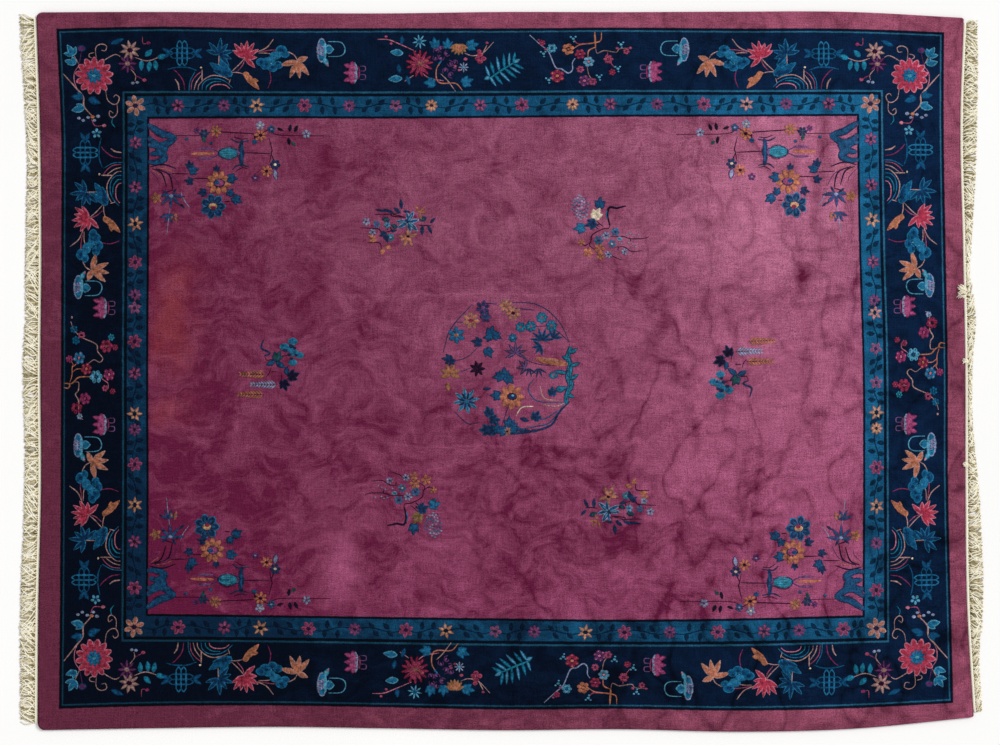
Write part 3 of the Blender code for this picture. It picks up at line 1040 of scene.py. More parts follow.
def draw_corner(pen):
    """A corner's peony with its curling stems, buds and leaves: a towards the middle, b outward."""
    curls = (
        [(2.7, 15), (2.2, 27), (7, 31), (12.5, 29.3), (11.4, 24.6), (7.6, 25)],
        [(0.5, 22.8), (-3.8, 21.7), (-4.3, 19), (-1.6, 17.5)],
        [(8, 13.6), (13.6, 17.3), (21, 20.6), (26.6, 17.9)],
        [(10.8, -15), (12.5, -23.9), (17.9, -28.2), (22.2, -27), (23.9, -21.7), (20.6, -19), (18.4, -21.4)],
        [(21.7, -28.2), (21.7, -36.9), (17.3, -41.2), (14, -39), (14.6, -34.7), (17.9, -36.9)],
        [(35.2, 6.5), (40.1, 0), (39.6, -5.4)],
    )
    for path in curls:
        pen.stem(path, 1.2, "tan")
    pen.stem([(-14.6, 10), (-19, 3.3), (-19.5, -5.4), (-17.3, -12)], 1.1, "pink")
    pen.stem([(-29.8, 2.2), (-19, -10.8), (-11.4, -20.6), (-10.8, -30.4), (-2.7, -40)], 2.0, "tan")
    pen.stem([(17.3, -41.2), (16.3, -46.6), (19.5, -51)], 1.2, "teal")
    pen.stem([(40, 17.3), (51.5, 14), (64.5, 18)], 1.3, "tan")
    pen.stem([(47, 38), (47.5, 31), (52.5, 31.4)], 1.0, "rose")
    pen.stem([(40, 0), (48.8, -4.9)], 1.2, "magenta")
    pen.stem([(-3.8, -43), (-0.5, -49.3), (7, -49.3)], 1.2, "rose")
    pen.stem([(-14.6, 12), (-19, 21)], 1.0, "tan")
    pen.stem([(-14, 12), (-11.5, 24)], 1.0, "purple")
    pen.bloom(0, 0, 18, 13, "red", None, "pink", 1.15, 5)
    pen.bloom(0, 0, 12, 13, "red", None, "rose", 1.0, 19, 3)
    pen.bloom(0, 0, 7.2, 9, "blue", "sky", "deep", 1.0, 0, 5)
    pen.bloom(35, 24.5, 9.5, 8, "tan", "wine", "clay", 0.5, 10, 1, "leaf")
    pen.bloom(32.5, 11.5, 9.5, 8, "purple", "clay", "wine", 0.6, 0, 1, "leaf")
    pen.leaves([
        (50, 19, 45, 8, 5), (62, 17, 15, 9, 5), (46, 14, -92, 9, 4.6), (53.7, 13, -95, 9, 4.6),
        (59, 14, -80, 9, 4.6),
    ], "teal", "blue")
    pen.petal(17, 31, 22, 13, 5, "deep", "navy", 1, "leaf")
    pen.leaves([
        (-19, 21, 120, 11, 6), (-19, 21, 170, 9, 5), (-19, 21, 75, 8, 4.5), (-18, 12, 160, 10, 6),
        (-18, 12, 110, 7, 5),
    ], "blue", "sky")
    pen.dot(-11.5, 27, 3.4, "purple", "navy", 1)
    pen.leaves([
        (-12, -22, 170, 11, 7), (-12, -22, 130, 8, 5), (-6, -24, -15, 12, 7), (-6, -24, 25, 7, 5),
    ], "deep", "navy")
    pen.leaves([(-11, -32, 190, 12, 7), (-11, -32, 150, 8, 5)], "blue", "sky")
    for x, y in ((-16.3, -41.7), (-12, -44), (-7, -41), (-1, -44), (37.4, -7.6), (41.7, -7)):
        pen.dot(x, y, 1.7, "mist")
    for x, y, dye in (
        (2.7, -40, "mist"), (-2.7, -40.5, "orange"), (8.7, -49.3, "pink"), (52.6, 31.4, "magenta"),
        (48.8, -4.9, "rose"),
    ):
        pen.dot(x, y, 2, dye)
    pen.bloom(1.1, -57, 5, 5, "sky", "navy", None, 0.8, 20)


# The main border's inner line on the sides and at the ends, and a corner's bloom
INNER_ALONG = 278.0
INNER_ACROSS = 384.0
CORNER_BLOOM = (409.5, 292.5)

# Where each motif stands on a long side and an end, and how far above the inner line
Place = namedtuple("Place", "draw top side above turned")
SERIES = (
    Place(draw_spray, 258, 148, 0, False),
    Place(draw_teapot, 180, 80, 40, True),
    Place(draw_basin, 150, 59, 17.5, True),
    Place(draw_knot, 323, 216, 36, False),
)


def border_pens(strokes, sx, sy):
    """Pens for a quarter's long side and end. On an end, turned motifs lie as they do on the long side."""
    for place in SERIES:
        yield place.draw, Pen(strokes, (sx * place.top, sy * (INNER_ALONG + place.above)), (-sx, 0), (0, sy))
        axes = ((-sx, 0), (0, -sy)) if place.turned else ((0, -sy), (sx, 0))
        yield place.draw, Pen(strokes, (sx * (INNER_ACROSS + place.above), sy * place.side), *axes)


QUARTERS = (("top_left", -1, 1), ("top_right", 1, 1), ("bottom_left", -1, -1), ("bottom_right", 1, -1))


def build_border(material):
    """The main border's motifs: a piece for each quarter, and one for the middles of the sides."""
    pieces = []
    for name, sx, sy in QUARTERS:
        strokes = []
        for draw, pen in border_pens(strokes, sx, sy):
            draw(pen)
        draw_corner(Pen(strokes, (sx * CORNER_BLOOM[0], sy * CORNER_BLOOM[1]), (-sx, 0), (0, sy)))
        pieces.append(build_strokes("border_flowers_" + name, strokes, material))
    for name, origin, right, up in (
        ("top", (0, INNER_ALONG), (1, 0), (0, 1)),
        ("bottom", (0, -INNER_ALONG), (1, 0), (0, -1)),
        ("left", (-INNER_ACROSS, 0), (0, -1), (-1, 0)),
        ("right", (INNER_ACROSS, 0), (0, 1), (1, 0)),
    ):
        strokes = []
        draw_middle(name, Pen(strokes, origin, right, up))
        pieces.append(build_strokes("branches_" + name, strokes, material))
    return pieces


# Middles of the sides


def draw_chrysanthemum(pen):
    """A chrysanthemum branch that grows from the inner line. The origin is under its red flower."""
    pen.stems([
        [(-42.3, 50.8), (-31, 50.3), (-19, 45.6), (-3.5, 38.7)],
        [(24, 9.4), (8, 13), (-3, 24)],
    ], 1.3, "pink")
    pen.stems([[(45.6, 37), (53.3, 34.4), (63.7, 37), (74.8, 48.2)], [(63.7, 37), (68, 45)]], 1.2, "tan")
    pen.stems([[(22.3, 29.3), (17.2, 21.5), (17.2, 11.2), (22.3, 6.9), (36.1, 6.9), (43, 0)]], 1.6, "orange")
    pen.stems([[(21.5, 16.3), (28.4, 9.4), (36.1, -1)], [(-15, 9), (-6, 15)]], 1.3, "tan")
    pen.leaves([(-18, 46, 85, 8, 4.4), (-20, 18, 100, 8, 4.6), (-13, 14, -70, 9, 5)], "deep", "navy")
    pen.leaves([(-17, 37, 175, 12, 7), (-18, 12, 185, 13, 7)], "blue", "sky")
    pen.maples([
        (10.3, 7.5, 8.5, 180), (48, 8.6, 9, 20), (15.4, 47.3, 8, 100), (28.4, 46.5, 8, 90), (53.3, 45, 9, 10),
    ], "blue", "deep")
    pen.bloom(0, 48.5, 7.5, 8, "sky", "deep", None, 0.5, 10, 1, "leaf")
    pen.bloom(0, 26.7, 14, 13, "crimson", None, "wine", 0.75, 4)
    pen.bloom(0, 26.7, 9, 9, "crimson", None, "rose", 0.55, 18, 3)
    pen.stems([[(-4, 25), (3, 27.5), (8, 30)], [(-1, 29), (1, 26), (4, 24.5)]], 1.2, "ochre", 6)
    for x, y, turn in (
        (17, 39, 0), (22, 41, 60), (28, 37, 120), (16, 33, 200), (30, 27, 250), (34, 22, 300), (26, 19, 20),
        (32, 15, 80), (22, 33, 160), (36, 27, 30),
    ):
        curl = pen.at(x, y, turn)
        curl.stem([(-2.8, -1.4), (-2.3, 1.8), (1, 2.7), (2.8, 0.5), (1.4, -1.6)], 1.7, "purple", 1)
        curl.petal(-1, 0, 40, 4, 2.4, "mauve", None, 2, "leaf")
    pen.leaves(
        [(39.5, 45.5, angle, 10, 3.6) for angle in (-160, -135, -112, -90, -68, -45, -20)], "amber", "ochre"
    )
    pen.dots([
        (36, 24, 1.6), (40, 20, 1.5), (46.4, 31, 1.9), (-33.6, 53.4, 1.4), (-28.5, 46.5, 1.4),
        (68, 47.3, 1.5),
    ], "rose")
    pen.dots([
        (61, 35.5, 2), (58.5, 31.5, 1.8), (64.5, 31.5, 1.8), (61, 28.5, 1.7), (60, 39, 1.4),
    ], "crimson", "rose")
    pen.bloom(44.4, 22.9, 5.2, 8, "mist", "sky", None, 0.6)
    pen.stem([(19, 26), (22.5, 29.5)], 2.2, "blue", 1)


def draw_fern(pen):
    """A plain leafy plant about its own middle: six pairs of leaves on both sides of one stem."""
    pen.stem([(-17, -2), (0, 0), (17, 1)], 2.4, "teal", 1)
    for k, x in enumerate((-14, -9, -3, 3, 8, 13)):
        angle, length = 84 - 6 * k, 16.5 - abs(x) * 0.35
        pen.leaves([(x, 0, -angle, length, 2.6), (x, 0, angle, length, 2.6)], ("sky", "teal")[k % 2], "deep")
    pen.leaves([(-14, 0, 180, 6, 4), (14, 1, 0, 7, 4)], "sky", "deep")


def draw_prunus(pen):
    """A plum branch that grows from the outer line, hung with small round flowers."""
    bough = [
        (27, 55), (38.2, 44.8), (46, 37.9), (52.8, 22.4), (58.9, 20.6), (65.8, 16.3), (70, 19.8), (70, 26.7),
        (72.6, 31),
    ]
    pen.stem(bough, 1.6, "mist")
    pen.stems([
        [(99.3, 57), (98.5, 49), (91.6, 46.5), (77.8, 44.8), (71.8, 41.3)],
        [(93.3, 42.2), (86.4, 38.7), (85.6, 31)],
    ], 1.6, "orange")
    pen.stem([(92.5, 57.7), (93.3, 42)], 2.4, "amber")
    pen.stems([
        [(93.3, 42.2), (95, 36.1), (101.9, 38.7), (114, 37), (117.4, 40.4), (127.8, 41.3)],
        [(84.7, 23.2), (86.4, 14.6), (90, 9.4)],
    ], 1.2, "clay")
    pen.stems([
        [(105.4, 37), (106.2, 30), (112.3, 21.5)],
        [(40, 49), (38.5, 44)],
        [(71, 51), (75, 46), (83, 46)],
    ], 1.2, "rose")
    pen.round_blooms([
        (77.8, 35.3, 5.6, "crimson", "rose"), (54.6, 13.5, 7.4, "crimson", "orange"),
        (106.2, 30, 5, "rose", "crimson"), (82, 8.5, 6.4, "purple", "pink"),
        (90.5, 7.5, 4.2, "rose", "purple"), (86.4, 27.5, 5.8, "sky", "pink"),
        (49.4, 41.5, 5.2, "sky", "deep"), (77.8, 20, 4, "rose", "purple"),
        (65.8, 40.4, 6.4, "orange", "amber"), (124.3, 38, 3.4, "rose", "crimson"),
        (110, 17, 3.6, "crimson", "rose"), (39.5, 47, 3.4, "crimson", "rose"),
    ])
    for x, y in ((40.8, 36.1), (46, 9.5), (71, 50.8), (97, 12), (115.7, 20.4), (119, 44.8)):
        pen.dots([(x, y, 1.5), (x - 2.6, y + 1.8, 1.1), (x + 2.2, y + 2, 1), (x + 0.6, y - 2.8, 1)], "sky")
    pen.dots([(115, 41, 1.5), (128.6, 41.3, 1.4), (43, 40.5, 1.4), (36, 50, 1.2)], "rose")


def draw_side_prunus(pen):
    """The plum branch of an end, grown from the outer line: a along the side, b above the inner line."""
    pen.stems([
        [(21.5, 57), (22, 52.5), (18, 51), (17, 57)],
        [(18.7, 51.8), (15.9, 46.9), (11, 41.3), (10.6, 25)],
    ], 1.8, "amber")
    pen.stems([
        [(15.9, 45.5), (16.6, 42), (24.3, 42.4), (28.5, 45.2), (34.8, 42), (42.6, 42), (51, 41.3),
         (53.8, 37.8)],
    ], 1.4, "tan")
    pen.stems([
        [(16.6, 51), (8.9, 48.7), (1.9, 48.7), (-1.6, 47.6), (-5.2, 49.7)],
        [(6, 48.3), (2.9, 44), (2.6, 38)],
        [(0.5, 47.6), (-2.4, 44.5)],
    ], 1.2, "orange")
    pen.stems([
        [(-3, 32), (-6.6, 26.6), (-4, 20.9), (-8, 17.8), (-15, 23), (-20.6, 23.4), (-24, 27.3), (-29.4, 39.2),
         (-37, 47), (-45, 50)],
    ], 1.3, "tan")
    pen.stems([
        [(12.4, 18.8), (14.5, 16), (17.3, 12.5), (22.2, 12.2)],
        [(-20.4, 20), (-20.6, 7)],
        [(34.8, 42), (34, 37)],
    ], 1.2, "pink")
    pen.round_blooms([
        (10.6, 24.5, 7, "sky", "deep"), (-8.3, 41.6, 6.6, "blue", "pink"),
        (8.5, 11.5, 6.4, "magenta", "pink"), (32.7, 35.7, 6.4, "magenta", "rose"),
        (2.6, 34.3, 6.2, "crimson", "orange"), (-20.2, 14.3, 7, "crimson", "rose"),
        (42.2, 44, 6.2, "crimson", "wine"), (-7.3, 51.5, 4, "magenta", "rose"),
        (-31.5, 39.2, 4, "rose", "wine"), (-26.2, 44.8, 4.6, "deep", "teal"),
        (-37.4, 46.9, 4.2, "deep", "teal"), (25.4, 8, 3.2, "crimson", "rose"),
        (22.2, 15.4, 3.4, "rose", "crimson"), (-19.2, 5.4, 3.4, "crimson", "rose"),
        (-29.3, 9.3, 3.6, "teal", "sky"), (50.6, 41, 3.2, "mist", "sky"),
    ])
    pen.dot(-49.4, 49, 1.2, "tan")


def draw_middle(name, pen):
    """The middle group of one side, on a pen whose up axis points outward."""
    if name == "top":
        draw_chrysanthemum(pen.at(-84, 0))
        draw_fern(pen.at(-1, 20, 28))
        draw_prunus(pen)
    elif name == "bottom":
        draw_chrysanthemum(pen.at(-90, -2.5))
        draw_fern(pen.at(9, 19.5, 152))
        draw_prunus(pen.at(12, 0))
    else:
        draw_side_prunus(pen)


# Minor border

# The vines' lines from the design's middle, their bare ends, and the gap that takes two pairs of leaves
VINE_ALONG = 262.8
VINE_ACROSS = 369.8
VINE_MARGIN = 8
LONG_GAP = 24

# Each side's flowers and their places along it
VINES = {
    "top": (
        "rose -327 plum -281 flame -248 red -200 plum -155 bud -108 disc -72 rose -23 "
        "red 19 disc 70 rose 108 plum 155 red 202 cream 245 plum 285 rose 328"
    ),
    "bottom": (
        "red -326 rose -280 flame -244 red -196 plum -150 red -99 flame -59 bud -10 "
        "plum 29 flame 80 red 119 plum 164 red 212 rose 258 plum 293 red 337"
    ),
    "left": (
        "rose 226 rose 181 flame 144 red 105 plum 72 bud 59 red 25 "
        "rose -7 flame -48 plum -64 red -99 flame -140 rose -177 red -224"
    ),
    "right": (
        "rose 227 rose 181 flame 146 rose 104 plum 65 cream 53 bud 17 "
        "bud -17 flame -47 disc -63 red -102 flame -141 plum -178 red -225"
    ),
}

# Flowers of the vines. Plump is a petal's width as a share of its room.
Sprout = namedtuple("Sprout", "dye eye petals radius rim plump form")
SPROUTS = {
    "rose": Sprout("rose", "wine", 6, 6.2, "purple", 0.7, "petal"),
    "red": Sprout("magenta", "wine", 6, 6.6, "rose", 0.7, "petal"),
    "plum": Sprout("mauve", "wine", 8, 5.6, "magenta", 0.6, "petal"),
    "flame": Sprout("straw", "ink", 6, 7.4, "orange", 0.42, "leaf"),
    "bud": Sprout("mauve", "wine", 5, 5.6, "rose", 0.6, "petal"),
    "disc": Sprout("straw", "wine", 8, 5.4, "orange", 0.7, "petal"),
    "cream": Sprout("straw", "ink", 6, 7.0, "pink", 0.42, "leaf"),
}


def draw_vine(pen, text, half):
    """A thin vine along a side: flowers where the text says, and pairs of dark leaves between them."""
    words = text.split()
    sprouts = sorted((float(at), kind) for kind, at in zip(words[::2], words[1::2]))
    stops = [-half, *(at for at, _ in sprouts), half]
    for k, (start, end) in enumerate(zip(stops, stops[1:])):
        bow = 2.2 * (-1) ** k
        pen.stem([
            (start, 0), (start * 0.7 + end * 0.3, bow), (start * 0.3 + end * 0.7, -bow), (end, 0),
        ], 1.5, "ink")
        for share in (0.36, 0.64) if end - start > LONG_GAP else (0.5,):
            x = start + (end - start) * share
            lean = 25 * (-1) ** k
            pen.leaves([(x, 0.6, 70 + lean, 8.6, 5.4), (x + 1.8, -0.6, -110 + lean, 8.6, 5.4)], "ink")
    for at, kind in sprouts:
        kin = SPROUTS[kind]
        pen.bloom(at, 0, kin.radius, kin.petals, kin.dye, None, kin.rim, kin.plump, 18 + at, 1, kin.form)
        pen.dot(at, 0, kin.radius * 0.34, kin.eye)


def build_vines(material):
    """The minor border's vines, a piece for each side, and a bloom in each corner."""
    sides = (
        ("top", (0, VINE_ALONG), (1, 0), (0, 1), VINE_ACROSS),
        ("bottom", (0, -VINE_ALONG), (1, 0), (0, -1), VINE_ACROSS),
        ("left", (-VINE_ACROSS, 0), (0, 1), (-1, 0), VINE_ALONG),
        ("right", (VINE_ACROSS, 0), (0, 1), (1, 0), VINE_ALONG),
    )
    pieces = []
    for name, origin, right, up, half in sides:
        strokes = []
        pen = Pen(strokes, origin, right, up)
        draw_vine(pen, VINES[name], half - VINE_MARGIN)
        if name in ("top", "bottom"):
            for side in (-1, 1):
                pen.bloom(side * half, 0, 9.5, 6, "orange", "wine", "tan", 0.66, 20 * side)
        pieces.append(build_strokes("vine_" + name, strokes, material))
    return pieces


# Field


def draw_field_corner(pen, flowers):
    """A corner of the field: rock, twigs, hanging lantern and flowers: a along the long side, b inward."""
    rock = (
        ([(-1.3, 6.1), (5.3, 10.3), (12.6, 15.2), (19.9, 17), (27, 19.4)], 5.6),
        ([(-0.7, 18.8), (5.3, 24.3), (12.6, 27.4), (21, 23), (26.5, 19.4)], 6.0),
        ([(-0.7, 26), (7.8, 28.5), (10.2, 34), (15, 37), (15, 41), (6.5, 44.3), (-0.7, 43.4)], 5.6),
        ([(1, 36), (6, 35), (10, 35)], 4.0),
        ([(10, 25), (15, 28), (15, 35)], 6.4),
    )
    for path, width in rock:
        pen.stem(path, width * 1.3 + 2.8, "navy", 0)
        pen.stem(path, width * 1.3, "deep", 1)
    pen.stems([
        [(27, 17), (50.2, 17), (60, 14), (67, 13.4), (93.8, 14.9), (104.7, 15.8), (107, 19), (112, 17),
         (120.4, 11.5), (131.4, 17), (182, 17.6)],
    ], 1.5, "wine")
    pen.stems([
        [(120.4, 20), (123.5, 32.1), (122.9, 34.6), (121, 44.3)],
        [(121.7, 35.5), (93.8, 34.6)],
        [(123, 37), (126, 44)],
        [(106, 17), (105.9, 22)],
    ], 1.5, "wine")
    pen.stems([
        [(22.9, 55.2), (39.3, 55.8)],
        [(44, 60.3), (62.3, 60.3)],
        [(76, 84), (81, 83.5)],
        [(24, 72), (14, 75)],
    ], 1.5, "wine")
    pen.stems([
        [(1.1, 48.5), (13.8, 46.1), (27, 50.3)],
        [(2.9, 50.3), (12.6, 55.2), (17.4, 68.5)],
        [(6.5, 50.3), (19.9, 56.4), (24, 72)],
    ], 2.0, "ink")
    pen.stems([[(10.2, 50.9), (23.5, 57.6), (30.8, 69.7)], [(1, 53), (8, 60), (10, 66)]], 1.1, "purple")
    pen.stems([[(8, 49.5), (17, 51), (26, 55)], [(3, 52), (10, 57)]], 1.0, "amber")
    pen.stems([[(32, 74.6), (35, 82), (40.5, 89.7)], [(21, 90), (19, 106), (18, 117)]], 1.1, "mist")
    pen.blooms([
        (67, 12.8, 6.4, "amber", "ochre"), (112, 17, 6.8, "orange", "wine"),
        (118, 53.3, 6.2, "orange", "wine"),
    ], 7, None, 0.85)
    pen.blooms([
        (111.4, 7.3, 4.6, "mist", "cream"), (122.9, 10.9, 4.2, "deep", "mist"),
        (158, 15.8, 4.4, "mist", "purple"), (106.5, 60, 4, "purple", "mist"),
    ], 5)
    pen.blooms([
        (55, 15.2, 5, "navy", "green"), (126.5, 46.7, 5.6, "navy", "cream"),
        (47.7, 12.1, 3.4, "purple", "navy"),
    ], 6)
    pen.dots([(105.9, 23.7, 2.6), (62.3, 25, 1.8), (37.4, 20.6, 1.8)], "deep")
    pen.leaves([
        (141, 13.6, -80, 8, 4.4), (146, 14, -65, 8, 4.4), (139.8, 19.5, 80, 8, 4.4), (128.5, 10, 20, 7, 3.5),
    ], "ink")
    pen.leaves([(143, 24, 40, 6, 4), (54, 18, 75, 7, 4.4)], "green")
    pen.petal(126, 52, 80, 10, 5.4, "mist", "purple", 1, "leaf")
    pen.stem([(93.6, 22.5), (92.4, 29), (93.6, 35.2), (92.4, 41), (93.6, 48.2)], 6.4, "navy", 1)
    pen.stem([(93.3, 26), (92.8, 35.2), (93.3, 45)], 3.0, "deep", 2)
    pen.stems([[(82, 20.8), (89.3, 24), (100, 22.6)], [(83.9, 51.3), (89.8, 47.2), (100, 48.6)]], 2.2, "navy")
    pen.stems([[(85, 18.6), (92, 21), (99, 20.4)], [(87, 53.6), (93, 50), (99, 50.6)]], 1.3, "wine")
    pen.petal(86, 35.2, 0, 5, 9, "mauve", "navy", 0, "round")
    pen.petal(70, 35.2, 0, 19, 14.4, "teal", "navy", 1, "round")
    for offset in (-3.8, -1.3, 1.3, 3.8):
        pen.stem([(72, 35.2 + offset * 0.6), (79, 35.2 + offset), (86, 35.2 + offset * 0.7)], 0.9, "sky", 3)
    pen.stems([[(70.5, 34.4), (66, 32), (62, 30.6)], [(70.5, 36), (66, 38.4), (62, 39.8)]], 1.1, "navy")
    pen.stems([[(64, 30.4), (57, 30.2), (49, 30.4)], [(64, 40), (57, 40.2), (49, 40)]], 3.4, "mauve")
    pen.stem([(65, 35.3), (54, 35.4), (42, 35.6)], 3.8, "orange")
    flowers.bloom(69.6, 64.9, 12, 9, "orange", None, "amber", 0.85, 10)
    flowers.dot(70.4, 65, 4.8, "orchid", "navy", 4)
    flowers.dot(68.4, 64.6, 2.6, "deep", None, 6)
    flowers.bloom(64.1, 88.5, 12, 7, "navy", None, "blue", 1.15, 0)
    flowers.bloom(64.1, 88.5, 9, 7, "deep", None, None, 0.6, 0, 3)
    flowers.dot(64.1, 88.5, 4.4, "straw", "navy", 4)
    flowers.dot(64.6, 90, 2.4, "crimson", None, 6)
    pen.maples([
        (40.5, 46.1, 7.5, -100), (39.9, 63, 7.5, 190), (67.7, 50, 6, -90), (53.2, 74.6, 8, 170),
    ], "navy")
    pen.maples([
        (83.5, 60.6, 8, 0), (81.7, 74.6, 6, -60), (88.3, 82, 8, 30), (44.7, 52.1, 7.5, -20),
    ], "deep", "navy")
    pen.leaves([*fan(22, 77, 92, 5, 170, 14, 3.2), *fan(20, 96, 92, 4, 130, 10, 2.8)], "deep", "purple")
    pen.leaves([(24, 76, -60, 7, 3), (19, 76, 215, 7, 3), (31, 86, 40, 7, 3)], "navy")
    pen.dot(22, 78, 2, "mist")
    pen.bloom(7.1, 80, 6.4, 5, "amber", "ochre", None, 0.8, 40, 1, "leaf")
    pen.leaves([(26, 95, 80, 10, 4.4), (24, 97, 110, 6, 3)], "amber")


def draw_iris_sprig(pen):
    """A spray of iris, lily and small flowers about its own middle."""
    pen.stems([
        [(-39, -5.6), (-21.6, -6.5), (-18.5, -9.2), (-13.7, -9.8)],
        [(-7.6, 8.4), (-7.6, 6.5), (0.8, 5.3), (8.7, 4.7)],
        [(-32, -20.7), (-19.8, -20.7), (-18, -27)],
    ], 1.5, "wine")
    pen.stems([[(19.6, -2.8), (25, -3.4), (31.7, -3.2)], [(-10, -3), (-8, -8), (-14, -10)]], 1.4, "wine")
    pen.leaves([
        (2.7, 13.2, 96, 10.5, 4.8), (-5, 9.4, 160, 12, 3.6), (-12, 11, 172, 13, 3), (1.5, 9.2, 140, 9, 4.6),
        (4, 11, -5, 8, 3.4), (23.3, -3, -92, 10.5, 4.6), (28.5, -3, -62, 10, 4), (31, -1, 45, 8, 3.6),
    ], "navy")
    pen.leaves([(-10, 2.4, 175, 7, 4.4), (27, 4.5, 200, 7, 4.6), (-2, -5, 160, 6, 4)], "green", "navy")
    pen.leaves([
        (9, 0, 175, 12, 4.4), (9, 1, 60, 11, 5), (9, 0, -42, 13, 4.6), (9, -1, -75, 9, 4),
        (9, 2, 100, 8, 3.4), (10, 0, 15, 10, 4), (8, -1, 205, 11, 4),
    ], "deep", "mist")
    pen.leaves([(8, 0, 178, 8, 2), (9, 1, 60, 8, 2), (9, 0, -42, 9, 2)], "sky", None, 4)
    pen.dots([(8, 1, 2.4), (-16, -10.6, 2.6), (-13, -15, 3)], "navy")
    pen.leaves([(-12, -11, 200, 9, 4), (-13, -13, -80, 8, 4), (-9, -9, 10, 7, 4)], "navy")
    pen.stems([
        [(-25, 8), (-14, 8), (0, 9)],
        [(-12, 6), (-11, 0), (-12, -8)],
        [(8, 4), (2, 6), (-6, 8)],
        [(9, -6), (8, -12)],
    ], 1.3, "ink")
    pen.blooms([
        (-33, 0.5, 4, "mist", "purple"), (-22.8, -2, 3.8, "blue", "magenta"), (-12, -2.8, 3.6, "sky", "deep"),
        (-26.7, -10, 3.6, "mist", "navy"), (-8.8, -15.3, 4, "teal", "mist"),
    ], 5)
    pen.leaves([
        (8.7, -14.7, 175, 10, 3.4), (8.7, -14.7, 18, 10, 3.4), (8.7, -14.7, -115, 12, 3.4),
        (8.7, -14.7, -65, 11, 3.4), (8.7, -14.7, 88, 8, 3.6), (8.7, -14.7, 205, 8, 3),
    ], "orange", "clay")
    pen.leaves([
        (19.6, 9.6, 112, 9, 3), (19.6, 9.6, 45, 9, 3), (19.6, 9.6, 4, 9, 3), (19.6, 8, -60, 6, 3),
    ], "amber")
    pen.leaves([
        (-24, -15, 170, 7, 3.2), (-23, -18, 185, 7, 3.2), (-14, -24, -20, 6, 4), (-16, -27, -110, 5, 4),
    ], "orange", "amber")
    pen.dots([(8.9, -14.2, 1.7)], "ink")
    pen.dots([(-26.7, -3.2, 1.6), (-17, 6, 2), (6, 6.4, 1.5), (16, 6, 1.6)], "magenta")


def draw_branch_sprig(pen, worn):
    """A hooked branch with flowers about its own middle. Worn is the dye of the leaf with the least pile."""
    pen.stem([
        (21.5, 18.2), (16, 17), (12.3, 16.2), (5.5, 17), (3.2, 11.3), (3.9, 5.2), (5.5, -0.9),
    ], 2.8, "ink", 1)
    pen.stem([(3, 14), (2, 10), (3, 5)], 1.6, "blue", 2)
    pen.stems([
        [(5.5, -0.9), (3.9, -4), (-1.4, -4.4), (-12.1, -10.1), (-13.7, -16.2), (-15.2, -20.8), (-9.8, -25)],
        [(-14.4, -18), (-20, -20.8), (-23.6, -17.8)],
        [(-10, -1), (-4.5, 0.6)],
    ], 1.4, "wine")
    pen.stems([
        [(4.7, -12), (12, -12.2), (19.2, -12), (26.1, -14.3), (40, -13.9), (44.5, -12)],
        [(10, -22.7), (19.2, -22.3), (26.9, -26.9), (37.6, -26.2)],
        [(3.9, -27.7), (9.3, -32.3), (17, -35.4)],
    ], 1.2, "ink")
    pen.stems([[(14, -22.5), (13, -25.5)], [(22, -24), (20.5, -27)], [(26, -14.3), (26, -17)]], 1.0, "ink")
    for k in range(44):
        share = np.sqrt((k + 0.5) / 44)
        place = (-24 + 8.5 * share * np.cos(2.4 * k), 17 + 13 * share * np.sin(2.4 * k))
        pen.dot(*place, 1.15, ("mist", "mauve", "blue", "mist")[k % 4], None, 1)
    pen.maples([(-13.6, 0.5, 8.5, 200)], "navy", "deep")
    pen.maples([(-4.3, 21.5, 8.5, 85)], "deep", "navy")
    pen.maples([(-25, -3.6, 8.5, 190)], "blue", "deep")
    pen.maples([(-7.6, 10.8, 9, 60)], worn, worn)
    pen.stems([[(-8, 4), (-4, 0), (-1, -2)], [(-10, 0), (-5, -2)], [(-9, -2), (-6, -5)]], 1.1, "ink")
    pen.dots([
        (22, -10, 1), (25.5, -9, 1), (28, -11, 0.9), (24, -18, 1), (28, -19.5, 1), (31, -22, 0.9),
        (17, -19, 1), (34, -10, 0.9),
    ], "mist")
    pen.blooms([
        (10.8, -7.4, 4.6, "blue", "navy"), (1.6, -10.9, 4.4, "mist", "deep"), (-6, -15.8, 5, "blue", "navy"),
        (7.4, -19.3, 4.2, "blue", "cream"), (3.5, -30, 3.8, "mist", "navy"), (20, -27, 3.6, "mist", "purple"),
    ], 6, None, 0.9)
    pen.blooms([
        (-16.7, -27.7, 5.4, "orange", "amber"), (-5.3, -23.9, 5.6, "amber", "orange"),
        (-4.5, -31.5, 4.4, "amber", "ochre"), (-23.4, -17.8, 3.8, "amber", "orange"),
    ], 5, None, 0.9)
    pen.dot(15, -14.4, 1.8, "teal", "mist")


